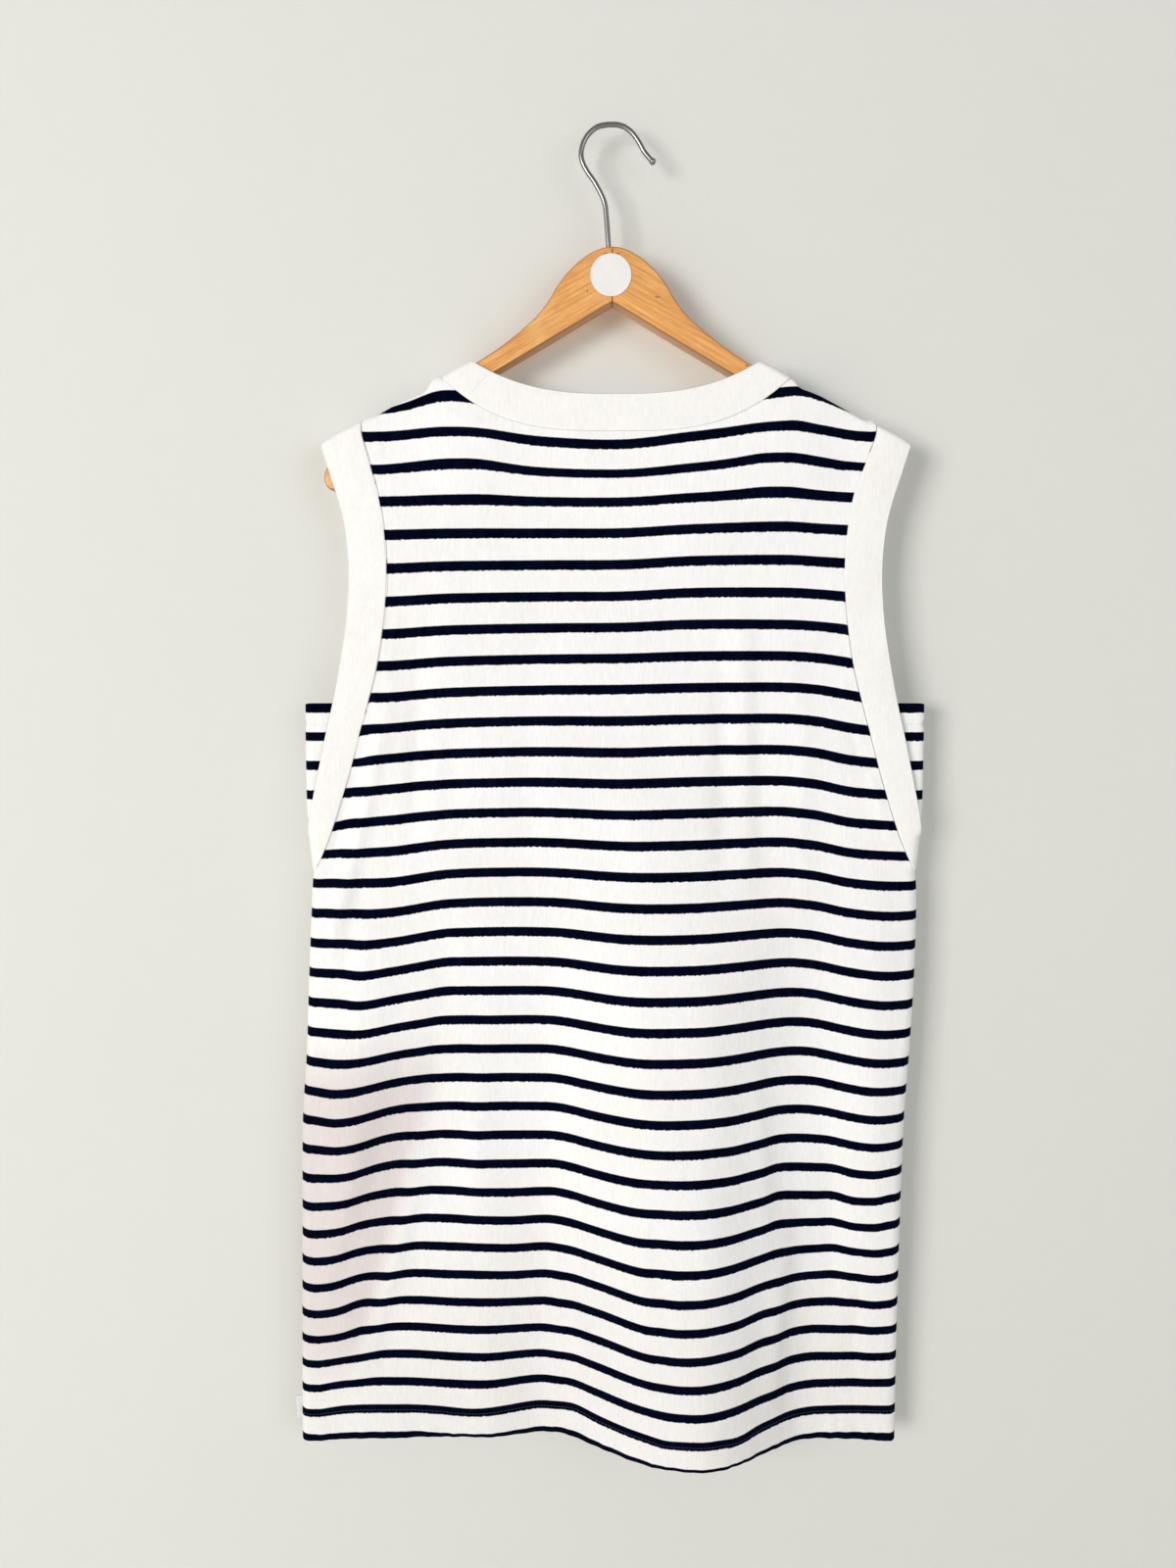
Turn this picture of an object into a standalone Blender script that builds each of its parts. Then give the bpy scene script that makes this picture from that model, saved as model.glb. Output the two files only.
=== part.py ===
"""A sleeveless striped jersey mini dress hanging on a wooden hanger, seen from its back.

Metres, +Z up. The origin is the top of the inside of the hook, where a rail or a peg bears.
The back of the dress faces -Y, its front +Y, and its right side as seen from behind is at +X.
Heights below are measured from the origin, so those of the dress are negative.
"""
import math

import bmesh
import bpy
import numpy as np

MM = 0.001

# Driving sizes, in millimetres
CLOTH = 1.2
BAND = 2.0
SEAM_GAP = 0.35
ARM_GAP = 0.45
UNDERARM_GAP = 1.2
UNDERARM_GAP_FROM = 45.0
UNDERARM_GAP_EASE = 30.0
DRESS_SHIFT = 3.0
SHOULDER_TIP = 195.5
NECK_POINT = 134.5
BAND_CORNER = 111.5
RIDGE_TOP = -170.5
RIDGE_SLOPE = 0.525
ROLL_DROP = 5.5
UNDERARM = -570.5
HEM = -1061.5
HEM_TURN = 21.0
HEM_DROOP = 5.0
SIDE_ROUND = 9.0
BACK_NECK = {"seam": -223.6, "edge": -195.8, "seam_power": 3.2, "edge_power": 2.75}
FRONT_NECK = {"seam": -274.0, "edge": -247.0, "seam_power": 2.5, "edge_power": 2.3}

# Grid counts
NECK_STEPS = 18
ARM_STEPS = 20
BACK_ROWS = 17
FRONT_ROWS = 9
BAND_SHARES = (0.0, 0.08, 0.38, 0.7, 1.0)
SIDE_COLUMNS = (0.0, 0.1, 1.4, 4.5, 9.0, 22.0, 40.0)
EDGE_STEP = 0.25
SHARP_EDGE = 50.0
NECK_SETTLE = 190.0
NECK_HOLD = 12.0

# Edge of the body panels from the shoulder tip down the armhole seam and the side:
# height, half of the width, and how far the middle has swung to +X
PANEL_EDGE = (
    (-214.6, 195.5, 0.0),
    (-226.0, 194.6, 0.0),
    (-249.6, 188.5, 0.0),
    (-275.0, 182.3, 0.0),
    (-300.0, 179.0, 0.0),
    (-327.0, 177.9, 0.0),
    (-356.0, 179.7, 0.0),
    (-380.0, 183.0, 0.0),
    (-406.0, 187.9, 0.0),
    (-431.0, 194.6, 0.0),
    (-457.0, 202.1, 0.0),
    (-483.0, 209.3, 0.0),
    (-508.0, 217.2, 0.0),
    (-534.0, 226.0, 0.0),
    (-555.0, 234.5, 0.0),
    (-563.0, 239.2, 0.0),
    (-570.5, 243.5, 0.0),
    (-580.0, 245.0, 0.0),
    (-605.0, 246.3, -0.4),
    (-660.0, 248.0, -2.2),
    (-719.0, 248.8, -4.8),
    (-777.0, 250.2, -8.6),
    (-872.0, 251.6, -10.4),
    (-967.0, 253.5, -11.6),
    (-1066.5, 255.5, -12.4),
)

# Free edge of an armhole band: height and half of the width
BAND_EDGE = (
    (-231.4, 227.5),
    (-259.5, 219.1),
    (-283.0, 212.3),
    (-301.4, 209.2),
    (-324.0, 207.8),
    (-346.0, 208.5),
    (-373.0, 211.5),
    (-403.5, 217.0),
    (-432.0, 223.1),
    (-460.0, 230.0),
    (-490.0, 236.8),
    (-518.0, 242.8),
    (-540.0, 246.3),
)
BAND_FOLD = 246.3
BAND_FOLD_TOP = -540.0
FOLD_OPENING = 0.6

# Outer fold of the panel inside each armhole: height and half of the width
INNER_PANEL_FOLD = (
    (-433.0, 246.8),
    (-500.0, 247.8),
    (-520.0, 247.4),
    (-530.0, 245.6),
    (-538.0, 242.8),
    (-546.0, 241.4),
    (-560.0, 240.6),
    (-598.0, 240.4),
)
INNER_PANEL_TOP = -433.0
INNER_PANEL_FOOT = -598.0
INNER_PANEL_TUCK = 13.0
INNER_PANEL_HEM = 17.0
INNER_PANEL_FOLD_DEPTH = 6.5
INNER_PANEL_ROUND = 6.0
INNER_PANEL_CLEAR = 2.5
INNER_PANEL_FLAT = 0.25
INNER_PANEL_EASE = 0.6
INNER_PANEL_SHARES = (0.0, 0.2, 0.4, 0.6, 0.78, 0.9, 0.97)
INNER_PANEL_ROWS = (-468.0, -485.0, -500.0, -512.0, -521.0, -529.0, -536.0, -544.0, -556.0, -575.0)

# Depth of the dress at each height: the middle plane, and how far back and front stand from it
DEPTHS = (
    (-170.0, 0.0, 12.0, 12.0),
    (-270.0, 0.0, 12.0, 12.0),
    (-330.0, 0.0, 11.5, 11.5),
    (-450.0, -1.0, 10.5, 10.5),
    (-572.0, -2.0, 10.5, 10.0),
    (-700.0, -3.0, 9.0, 9.0),
    (-900.0, -3.0, 8.0, 8.5),
    (-1066.0, -3.0, 7.5, 8.5),
)

# Soft folds: top and foot heights, where its crest runs at each, how far it reaches to either
# side, its height at the foot, and whether it fades out again (1) or grows to the foot (0)
FOLD_GROWTH = 0.8
BACK_FOLDS = (
    (-490.0, -1061.5, 50.0, 71.0, 120.0, 106.0, 44.0, 0),
    (-560.0, -1180.0, 8.0, 12.0, 62.0, 55.0, 9.0, 1),
    (-640.0, -1061.5, -56.0, -55.0, 60.0, 40.0, -6.5, 0),
    (-575.0, -1040.0, -198.0, -240.0, 46.0, 46.0, 9.0, 1),
    (-575.0, -960.0, 203.0, 220.0, 42.0, 42.0, 8.0, 1),
)
FRONT_FOLDS = (
    (-520.0, -1061.5, -96.0, -112.0, 88.0, 74.0, 4.0, 0),
    (-600.0, -1061.5, 40.0, 58.0, 78.0, 82.0, -4.0, 0),
    (-560.0, -1061.5, 168.0, 176.0, 60.0, 52.0, 4.5, 0),
)

# Half of the hanger's outline: along the top from the middle, round the end and back
HANGER_THICK = 19.0
HANGER_ROUND = 2.0
HANGER_CORNER = 60.0
HANGER_TOP = (
    (0.0, -87.8),
    (6.0, -88.4),
    (12.5, -90.6),
    (19.0, -94.0),
    (25.0, -98.2),
    (31.0, -103.5),
    (36.5, -109.5),
    (42.5, -117.5),
    (48.3, -127.0),
    (58.0, -138.7),
    (73.0, -151.5),
    (88.0, -162.5),
    (103.0, -171.8),
    (112.0, -176.8),
    (150.0, -199.6),
    (198.0, -227.0),
)
HANGER_END = (
    (211.0, -241.0),
    (220.0, -250.5),
    (222.3, -260.0),
    (218.0, -267.0),
    (209.0, -267.0),
)
HANGER_FOOT = (
    (150.0, -219.5),
    (98.0, -184.8),
    (50.0, -157.0),
    (6.0, -131.5),
    (0.0, -128.3),
)

# Hook: the middle of the wire from inside the wood to the ball
HOOK_WIRE = 4.0
HOOK_BALL = 5.2
HOOK_ROUTE = (
    (-1.4, -102.0),
    (-2.9, -83.4),
    (-4.5, -63.7),
    (-6.2, -52.8),
    (-13.1, -39.5),
    (-18.8, -31.7),
    (-22.5, -24.8),
    (-23.6, -18.5),
    (-22.1, -11.6),
    (-18.0, -4.8),
    (-11.5, 0.2),
    (-4.2, 1.9),
    (0.0, 2.0),
    (3.5, 1.9),
    (9.0, 0.3),
    (14.8, -3.9),
    (19.8, -10.3),
    (23.9, -17.2),
    (28.0, -21.9),
    (30.3, -24.2),
)
HOOK_BORE = 2.3
HOOK_DRILL = 40.0
HOOK_DRILL_PAST = 1.0
HOOK_STEPS = 54
CURVE_STEPS = 12
WELD = 0.01

STICKER_RADIUS = 15.5
STICKER_THICK = 0.4
STICKER_GAP = 0.3
STICKER_HEIGHT = -108.8
STICKER_SHIFT = -1.2

LABEL = {"height": -1038.5, "tall": 22.0, "out": 5.5, "thick": 1.0}

COLOURS = {
    "jersey": (0.90, 0.89, 0.87),
    "rib": (0.91, 0.89, 0.85),
    "wood": (0.70, 0.46, 0.24),
    "steel": (0.62, 0.62, 0.62),
    "paper": (0.94, 0.94, 0.92),
    "label": (0.88, 0.88, 0.86),
}


def smooth_step(value):
    """0 to 1 with level ends."""
    t = min(max(value, 0.0), 1.0)
    return t * t * (3.0 - 2.0 * t)


def read_rows(rows, height, column):
    """The value of one column of a table at a height, on a smooth curve through its rows."""
    heights = [row[0] for row in rows]
    if height >= heights[0]:
        return rows[0][column]
    if height <= heights[-1]:
        return rows[-1][column]
    below = next(i for i, z in enumerate(heights) if z < height)
    low, high = below, below - 1
    span = heights[low] - heights[high]
    t = (height - heights[high]) / span

    def slope(i):
        before, after = max(i - 1, 0), min(i + 1, len(rows) - 1)
        return (rows[after][column] - rows[before][column]) / (heights[after] - heights[before])

    start, end = rows[high][column], rows[low][column]
    bend_out, bend_in = slope(high) * span, slope(low) * span
    return (
        (2 * t**3 - 3 * t**2 + 1) * start
        + (t**3 - 2 * t**2 + t) * bend_out
        + (3 * t**2 - 2 * t**3) * end
        + (t**3 - t**2) * bend_in
    )


def ridge(across):
    """Height of the fold along the top of the shoulders."""
    return RIDGE_TOP - RIDGE_SLOPE * (abs(across) - BAND_CORNER)


def neck_height(across, neck, which):
    """Height of the neck seam or of the neckband's free edge."""
    reach = NECK_POINT if which == "seam" else BAND_CORNER
    share = min(abs(across) / reach, 1.0) ** neck[which + "_power"]
    return neck[which] + (ridge(reach) - neck[which]) * share


def outer_limit(height):
    """Half width at which back and front meet in a fold. Over the closed fold it opens out."""
    if height > BAND_FOLD_TOP:
        return BAND_FOLD + FOLD_OPENING * (height - BAND_FOLD_TOP)
    if height > UNDERARM:
        t = (BAND_FOLD_TOP - height) / (BAND_FOLD_TOP - UNDERARM)
        return BAND_FOLD + (read_rows(PANEL_EDGE, UNDERARM, 1) - BAND_FOLD) * t
    return read_rows(PANEL_EDGE, height, 1)


def rounded(distance, radius):
    """Quarter of an ellipse: 0 on the fold, 1 from one radius away."""
    t = min(max(distance / radius, 0.0), 1.0)
    return math.sqrt(1.0 - (1.0 - t) ** 2)


def fold_relief(folds, across, height):
    """How far the soft folds push the cloth out here."""
    total = 0.0
    for top, foot, x_top, x_foot, left, right, tall, fades in folds:
        t = min((top - height) / (top - foot), 1.0)
        if t <= 0.0:
            continue
        crest = x_top + (x_foot - x_top) * t
        reach = left if across < crest else right
        side = abs(across - crest) / reach
        if side >= 1.0:
            continue
        growth = math.sin(math.pi * t) if fades else math.sin(0.5 * math.pi * t) ** FOLD_GROWTH
        total += tall * growth * 0.5 * (1.0 + math.cos(math.pi * side))
    return total


def surface(across, height, side, least=SEAM_GAP, add=0.0):
    """A point on the outside of the dress. side is -1 on the back and 1 on the front."""
    middle = read_rows(DEPTHS, height, 1)
    depth = read_rows(DEPTHS, height, 2 if side < 0 else 3) + add
    depth += fold_relief(BACK_FOLDS if side < 0 else FRONT_FOLDS, across, height)
    centre = read_rows(PANEL_EDGE, height, 2)
    roll = rounded(ridge(across - centre) - height, ROLL_DROP)
    turn = rounded(outer_limit(height) - abs(across - centre), SIDE_ROUND)
    return (across, middle + side * max(least, depth * roll * turn), height)


def even_ends(steps):
    """Shares from 0 to 1, closer together near both ends."""
    return [0.5 - 0.5 * math.cos(math.pi * i / steps) for i in range(steps + 1)]


def arm_heights():
    top = PANEL_EDGE[0][0]
    return [top + (UNDERARM - top) * share for share in even_ends(ARM_STEPS)]


def panel_rows(lower_rows):
    """Heights along the panel's side edge, from the shoulder tip to the hem."""
    turned = [HEM + HEM_TURN, HEM + 0.5 * HEM_TURN, HEM]
    start, end = UNDERARM, HEM + HEM_TURN
    lower = [start + (end - start) * i / lower_rows for i in range(1, lower_rows)]
    arm = arm_heights()
    return [arm[0], arm[0] - EDGE_STEP] + arm[1:] + lower + turned


def panel_columns(half):
    """Places across a panel whose half width is given."""
    inner = half - (SHOULDER_TIP - NECK_POINT)
    left = [-half + step for step in SIDE_COLUMNS]
    middle = [-inner * math.cos(math.pi * i / NECK_STEPS) for i in range(NECK_STEPS + 1)]
    return left + middle + [-x for x in reversed(left)]


def panel_points(side, neck, lower_rows):
    """Grid of a body panel: rows down from the shoulders and the neck to the hem."""
    rows = panel_rows(lower_rows)
    top_columns = panel_columns(SHOULDER_TIP)
    drops = []
    for across in top_columns:
        if abs(across) < NECK_POINT - 0.01:
            top = neck_height(across, neck, "seam") - SEAM_GAP
        else:
            top = ridge(across)
        drops.append(top - rows[0])
    grid = []
    settle = neck["seam"] - NECK_SETTLE
    for height in rows:
        fade = smooth_step((height - settle) / (rows[0] - NECK_HOLD - settle))
        lowered = HEM_DROOP * max(0.0, (UNDERARM - height) / (UNDERARM - HEM))
        line = []
        for i, drop in enumerate(drops):
            share = abs(top_columns[i]) / SHOULDER_TIP
            level = height - lowered * share**4
            half = read_rows(PANEL_EDGE, level, 1)
            z = level + drop * fade
            centre = read_rows(PANEL_EDGE, z, 2)
            line.append(surface(panel_columns(half)[i] + centre, z, side))
        grid.append(line)
    return grid


def new_material(name, colour, roughness, metallic=0.0):
    material = bpy.data.materials.new(name)
    material.use_nodes = True
    shader = material.node_tree.nodes["Principled BSDF"]
    shader.inputs["Base Color"].default_value = (*colour, 1.0)
    shader.inputs["Roughness"].default_value = roughness
    shader.inputs["Metallic"].default_value = metallic
    material.diffuse_color = (*colour, 1.0)
    return material


def place(mesh, name, material, collection):
    obj = bpy.data.objects.new(name, mesh)
    mesh.materials.append(material)
    mesh.shade_smooth()
    mesh.set_sharp_from_angle(angle=math.radians(SHARP_EDGE))
    collection.objects.link(obj)
    return obj


def sheet_object(name, grid, material, collection, closed=False, turned=()):
    """An open sheet through a grid of points. closed joins its last column to its first."""
    rows, columns = len(grid), len(grid[0])
    points = [[v * MM for v in point] for line in grid for point in line]
    faces = []
    for r in range(rows - 1):
        for c in range(columns if closed else columns - 1):
            right = (c + 1) % columns
            here, below = r * columns, (r + 1) * columns
            faces.append((here + c, below + c, below + right, here + right))
    mesh = bpy.data.meshes.new(name)
    mesh.from_pydata(points, [], faces)
    obj = place(mesh, name, material, collection)
    obj.location.x = DRESS_SHIFT * MM
    if turned:
        group = obj.vertex_groups.new(name="turned hem")
        picked = [r * columns + c for r in turned for c in range(columns)]
        group.add(picked, 1.0, "REPLACE")
    return obj


def thicken(obj, thickness, inward, doubled=False):
    """Makes the sheet a closed wall. inward tells which way its faces look."""
    solid = obj.modifiers.new("wall", "SOLIDIFY")
    solid.thickness = (2.0 if doubled else 1.0) * thickness * MM
    solid.offset = inward
    if doubled:
        solid.vertex_group = obj.vertex_groups[0].name
        solid.thickness_vertex_group = 0.5
    return solid


def make_panel(name, side, neck, lower_rows, material, collection):
    grid = panel_points(side, neck, lower_rows)
    if side > 0:
        grid = [list(reversed(line)) for line in grid]
    rows = len(grid)
    obj = sheet_object(name, grid, material, collection, turned=(rows - 3, rows - 2, rows - 1))
    thicken(obj, CLOTH, -1.0, doubled=True)


def band_line(start, end, side):
    """Points across a band, from its seam to its free edge."""
    line = []
    for share in BAND_SHARES:
        across = start[0] + (end[0] - start[0]) * share
        height = start[1] + (end[1] - start[1]) * share
        line.append(surface(across, height, side, least=0.0, add=BAND - CLOTH))
    return line


def make_neckband(material, collection):
    """A loop: along the back from the left shoulder to the right one, then back along the front."""
    shares = [-math.cos(math.pi * i / NECK_STEPS) for i in range(NECK_STEPS + 1)]
    lines = []
    for side, neck, places in ((-1, BACK_NECK, shares), (1, FRONT_NECK, shares[-2:0:-1])):
        for share in places:
            seam = share * NECK_POINT
            edge = share * BAND_CORNER
            low = (seam, neck_height(seam, neck, "seam"))
            high = (edge, neck_height(edge, neck, "edge"))
            lines.append(band_line(low, high, side))
    grid = [[line[i] for line in lines] for i in reversed(range(len(BAND_SHARES)))]
    obj = sheet_object("neckband", grid, material, collection, closed=True)
    thicken(obj, BAND, -1.0)


def seam_point(height):
    """The armhole seam, moved off the panel's edge by the seam gap."""
    step = 0.5
    half = read_rows(PANEL_EDGE, height, 1)
    slope = (read_rows(PANEL_EDGE, height - step, 1) - read_rows(PANEL_EDGE, height + step, 1)) / (2 * step)
    length = math.hypot(1.0, slope)
    near = smooth_step((UNDERARM + UNDERARM_GAP_FROM - height) / UNDERARM_GAP_EASE)
    gap = ARM_GAP + (UNDERARM_GAP - ARM_GAP) * near
    return half + gap / length, height + gap * slope / length


def make_armhole_band(name, hand, material, collection):
    """A loop: down the back from the shoulder to the underarm, then up the front."""
    shares = even_ends(ARM_STEPS)
    top_seam, top_edge = PANEL_EDGE[0][0], BAND_EDGE[0][0]
    lines = []
    for side, places in ((-1, shares), (1, shares[-2:0:-1])):
        for share in places:
            across, height = seam_point(top_seam + (UNDERARM - top_seam) * share)
            if share == 0.0:
                height = ridge(across)
            edge_height = top_edge + (BAND_FOLD_TOP - top_edge) * share
            edge = (hand * read_rows(BAND_EDGE, edge_height, 1), edge_height)
            lines.append(band_line((hand * across, height), edge, side))
    grid = [[line[i] for line in lines] for i in range(len(BAND_SHARES))]
    if hand > 0:
        grid = [list(reversed(line)) for line in grid]
    obj = sheet_object(name, grid, material, collection, closed=True)
    thicken(obj, BAND, -1.0)


def inner_panel_point(across_share, height, side):
    """across_share runs from the tucked edge behind the dress (0) to the outer fold (1)."""
    fold = read_rows(INNER_PANEL_FOLD, height, 1)
    tuck = read_rows(PANEL_EDGE, height, 1) - INNER_PANEL_TUCK
    across = tuck + (fold - tuck) * across_share
    middle = read_rows(DEPTHS, height, 1)
    depth = read_rows(DEPTHS, height, 2 if side < 0 else 3)
    near_dress = depth - INNER_PANEL_CLEAR
    blend = smooth_step((across_share - INNER_PANEL_FLAT) / INNER_PANEL_EASE)
    depth = near_dress + (INNER_PANEL_FOLD_DEPTH - near_dress) * blend
    return across, middle + side * depth * rounded(fold - across, INNER_PANEL_ROUND), height


def make_inner_panel(name, hand, material, collection):
    """The striped panel that shows through an armhole, folded at the dress's side."""
    shares = INNER_PANEL_SHARES
    places = [(-1, s) for s in shares] + [(-1, 1.0)] + [(1, s) for s in reversed(shares)]
    rows = [INNER_PANEL_TOP, INNER_PANEL_TOP - 0.5 * INNER_PANEL_HEM, INNER_PANEL_TOP - INNER_PANEL_HEM]
    rows += [*INNER_PANEL_ROWS, INNER_PANEL_FOOT]
    grid = []
    for height in rows:
        line = []
        for side, share in places:
            across, y, z = inner_panel_point(share, height, side)
            line.append((hand * across, y, z))
        grid.append(line)
    if hand < 0:
        grid = [list(reversed(line)) for line in grid]
    obj = sheet_object(name, grid, material, collection, turned=(0, 1, 2))
    thicken(obj, CLOTH, -1.0, doubled=True)


def make_side_label(material, collection):
    """The corner of a care label that stands out of the left side seam, near the hem."""
    height = LABEL["height"]
    centre = read_rows(PANEL_EDGE, height, 2)
    edge = DRESS_SHIFT + centre - read_rows(PANEL_EDGE, height, 1) - SEAM_GAP
    middle = read_rows(DEPTHS, height, 1)
    bm = bmesh.new()
    bmesh.ops.create_cube(bm, size=1.0)
    size = (LABEL["out"], LABEL["thick"], LABEL["tall"])
    bmesh.ops.scale(bm, vec=[v * MM for v in size], verts=bm.verts)
    mesh = bpy.data.meshes.new("side_label")
    bm.to_mesh(mesh)
    bm.free()
    obj = place(mesh, "side_label", material, collection)
    obj.location = ((edge - 0.5 * LABEL["out"]) * MM, middle * MM, height * MM)


def make_hanger_wood(material, collection, cutters):
    """The wood: half an outline, thickened, mirrored, bored for the hook and rounded."""
    half = list(HANGER_TOP) + list(HANGER_END) + list(HANGER_FOOT)
    outline = half + [(-x, z) for x, z in reversed(half[1:-1])]
    bm = bmesh.new()
    corners = [bm.verts.new((x * MM, 0.0, z * MM)) for x, z in outline]
    bm.faces.new(corners)
    mesh = bpy.data.meshes.new("hanger_wood")
    bm.to_mesh(mesh)
    bm.free()
    obj = place(mesh, "hanger_wood", material, collection)
    solid = obj.modifiers.new("thickness", "SOLIDIFY")
    solid.thickness = HANGER_THICK * MM
    solid.offset = 0.0
    bevel = obj.modifiers.new("rounded edges", "BEVEL")
    bevel.width = HANGER_ROUND * MM
    bevel.segments = 3
    bevel.limit_method = "ANGLE"
    bevel.angle_limit = math.radians(HANGER_CORNER)

    bm = bmesh.new()
    bmesh.ops.create_cone(
        bm, cap_ends=True, segments=16, radius1=HOOK_BORE * MM, radius2=HOOK_BORE * MM, depth=HOOK_DRILL * MM
    )
    drill = bpy.data.meshes.new("hook_bore")
    bm.to_mesh(drill)
    bm.free()
    bore = bpy.data.objects.new("hook_bore", drill)
    start, above = HOOK_ROUTE[0], HOOK_ROUTE[1]
    lean = math.atan2(above[0] - start[0], above[1] - start[1])
    bore.rotation_euler = (0.0, lean, 0.0)
    reach = 0.5 * HOOK_DRILL - HOOK_DRILL_PAST
    bore.location = ((start[0] + reach * math.sin(lean)) * MM, 0.0, (start[1] + reach * math.cos(lean)) * MM)
    bore.hide_render = True
    bore.display_type = "WIRE"
    cutters.objects.link(bore)
    cut = obj.modifiers.new("hook bore", "BOOLEAN")
    cut.object = bore


def smooth_route(route, steps):
    """Evenly spread points on a smooth curve through the route's own points."""
    points = [np.array(point, float) for point in route]
    dense = []
    for i in range(len(points) - 1):
        before, start, end, after = (points[min(max(i + k, 0), len(points) - 1)] for k in (-1, 0, 1, 2))
        for k in range(CURVE_STEPS):
            t = k / CURVE_STEPS
            bend = (2 * start, end - before, 2 * before - 5 * start + 4 * end - after)
            cubic = 3 * start - before - 3 * end + after
            dense.append(0.5 * (bend[0] + bend[1] * t + bend[2] * t * t + cubic * t**3))
    dense.append(points[-1])
    dense = np.array(dense)
    along = np.concatenate([[0.0], np.cumsum(np.linalg.norm(np.diff(dense, axis=0), axis=1))])
    at = np.linspace(0.0, along[-1], steps)
    return np.stack([np.interp(at, along, dense[:, k]) for k in range(2)], axis=1)


def make_hook(material, collection):
    """The wire, with a small ball on its tip, as one mesh."""
    curve = bpy.data.curves.new("hook wire", "CURVE")
    curve.dimensions = "3D"
    curve.bevel_depth = 0.5 * HOOK_WIRE * MM
    curve.bevel_resolution = 2
    curve.use_fill_caps = True
    line = smooth_route(HOOK_ROUTE, HOOK_STEPS)
    spline = curve.splines.new("POLY")
    spline.points.add(len(line) - 1)
    for point, (x, z) in zip(spline.points, line):
        point.co = (x * MM, 0.0, z * MM, 1.0)
    guide = bpy.data.objects.new("hook wire", curve)
    collection.objects.link(guide)
    bpy.context.view_layer.update()
    graph = bpy.context.evaluated_depsgraph_get()
    mesh = bpy.data.meshes.new_from_object(guide.evaluated_get(graph))
    bpy.data.objects.remove(guide)
    bm = bmesh.new()
    bm.from_mesh(mesh)
    bmesh.ops.remove_doubles(bm, verts=bm.verts, dist=WELD * MM)
    bmesh.ops.recalc_face_normals(bm, faces=bm.faces)
    bm.to_mesh(mesh)
    bm.free()
    mesh.name = "hanger_hook"
    mesh.materials.clear()
    hook = place(mesh, "hanger_hook", material, collection)

    bm = bmesh.new()
    bmesh.ops.create_uvsphere(bm, u_segments=14, v_segments=9, radius=0.5 * HOOK_BALL * MM)
    ball_mesh = bpy.data.meshes.new("hook_ball")
    bm.to_mesh(ball_mesh)
    bm.free()
    ball = bpy.data.objects.new("hook_ball", ball_mesh)
    ball.location = (line[-1][0] * MM, 0.0, line[-1][1] * MM)
    ball.hide_render = True
    ball.display_type = "WIRE"
    bpy.data.collections["helpers"].objects.link(ball)
    join = hook.modifiers.new("ball", "BOOLEAN")
    join.operation = "UNION"
    join.object = ball


def make_sticker(material, collection):
    """The round blank sticker on the middle of the hanger's face."""
    bm = bmesh.new()
    radius = STICKER_RADIUS * MM
    bmesh.ops.create_cone(
        bm, cap_ends=True, segments=40, radius1=radius, radius2=radius, depth=STICKER_THICK * MM
    )
    mesh = bpy.data.meshes.new("hanger_sticker")
    bm.to_mesh(mesh)
    bm.free()
    obj = place(mesh, "hanger_sticker", material, collection)
    obj.rotation_euler = (math.radians(90.0), 0.0, 0.0)
    off = 0.5 * HANGER_THICK + STICKER_GAP + 0.5 * STICKER_THICK
    obj.location = (STICKER_SHIFT * MM, -off * MM, STICKER_HEIGHT * MM)


def main():
    for obj in list(bpy.data.objects):
        bpy.data.objects.remove(obj)
    scene = bpy.context.scene.collection
    dress = bpy.data.collections.new("mini dress on a hanger")
    helpers = bpy.data.collections.new("helpers")
    scene.children.link(dress)
    scene.children.link(helpers)
    jersey = new_material("striped jersey", COLOURS["jersey"], 0.85)
    rib = new_material("off-white band jersey", COLOURS["rib"], 0.85)
    wood = new_material("beech", COLOURS["wood"], 0.40)
    steel = new_material("steel wire", COLOURS["steel"], 0.25, 1.0)
    paper = new_material("sticker paper", COLOURS["paper"], 0.60)
    ribbon = new_material("label ribbon", COLOURS["label"], 0.60)

    make_panel("dress_back", -1, BACK_NECK, BACK_ROWS, jersey, dress)
    make_panel("dress_front", 1, FRONT_NECK, FRONT_ROWS, jersey, dress)
    make_neckband(rib, dress)
    for hand, word in ((-1, "left"), (1, "right")):
        make_armhole_band("armhole_band_" + word, hand, rib, dress)
        make_inner_panel("inner_panel_" + word, hand, jersey, dress)
    make_side_label(ribbon, dress)
    make_hanger_wood(wood, dress, helpers)
    make_hook(steel, dress)
    make_sticker(paper, dress)


main()
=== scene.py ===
"""Looks of the striped jersey mini dress on its wooden hanger, seen from its back.

Lengths are in millimetres and become metres when a mesh is made. Heights are measured from the
origin, the top of the inside of the hook. The back of the dress faces -Y and its front +Y.
The tables of the first part are those of the CAD, whose walls the cloth follows.
"""

import math

import bmesh
import bpy
import numpy as np
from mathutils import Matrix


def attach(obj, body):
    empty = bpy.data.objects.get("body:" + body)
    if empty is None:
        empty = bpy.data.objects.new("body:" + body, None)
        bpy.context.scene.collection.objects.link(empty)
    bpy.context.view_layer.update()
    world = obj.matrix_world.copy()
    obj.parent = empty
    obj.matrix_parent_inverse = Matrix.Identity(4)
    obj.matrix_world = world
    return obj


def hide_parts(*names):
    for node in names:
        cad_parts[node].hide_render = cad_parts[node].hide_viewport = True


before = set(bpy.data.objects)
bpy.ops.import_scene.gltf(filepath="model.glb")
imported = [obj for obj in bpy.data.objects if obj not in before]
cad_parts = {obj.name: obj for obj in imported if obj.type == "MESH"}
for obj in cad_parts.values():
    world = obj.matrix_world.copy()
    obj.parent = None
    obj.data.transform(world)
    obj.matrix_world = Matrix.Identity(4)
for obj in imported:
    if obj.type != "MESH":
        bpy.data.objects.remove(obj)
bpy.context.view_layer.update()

MM = 0.001

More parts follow.
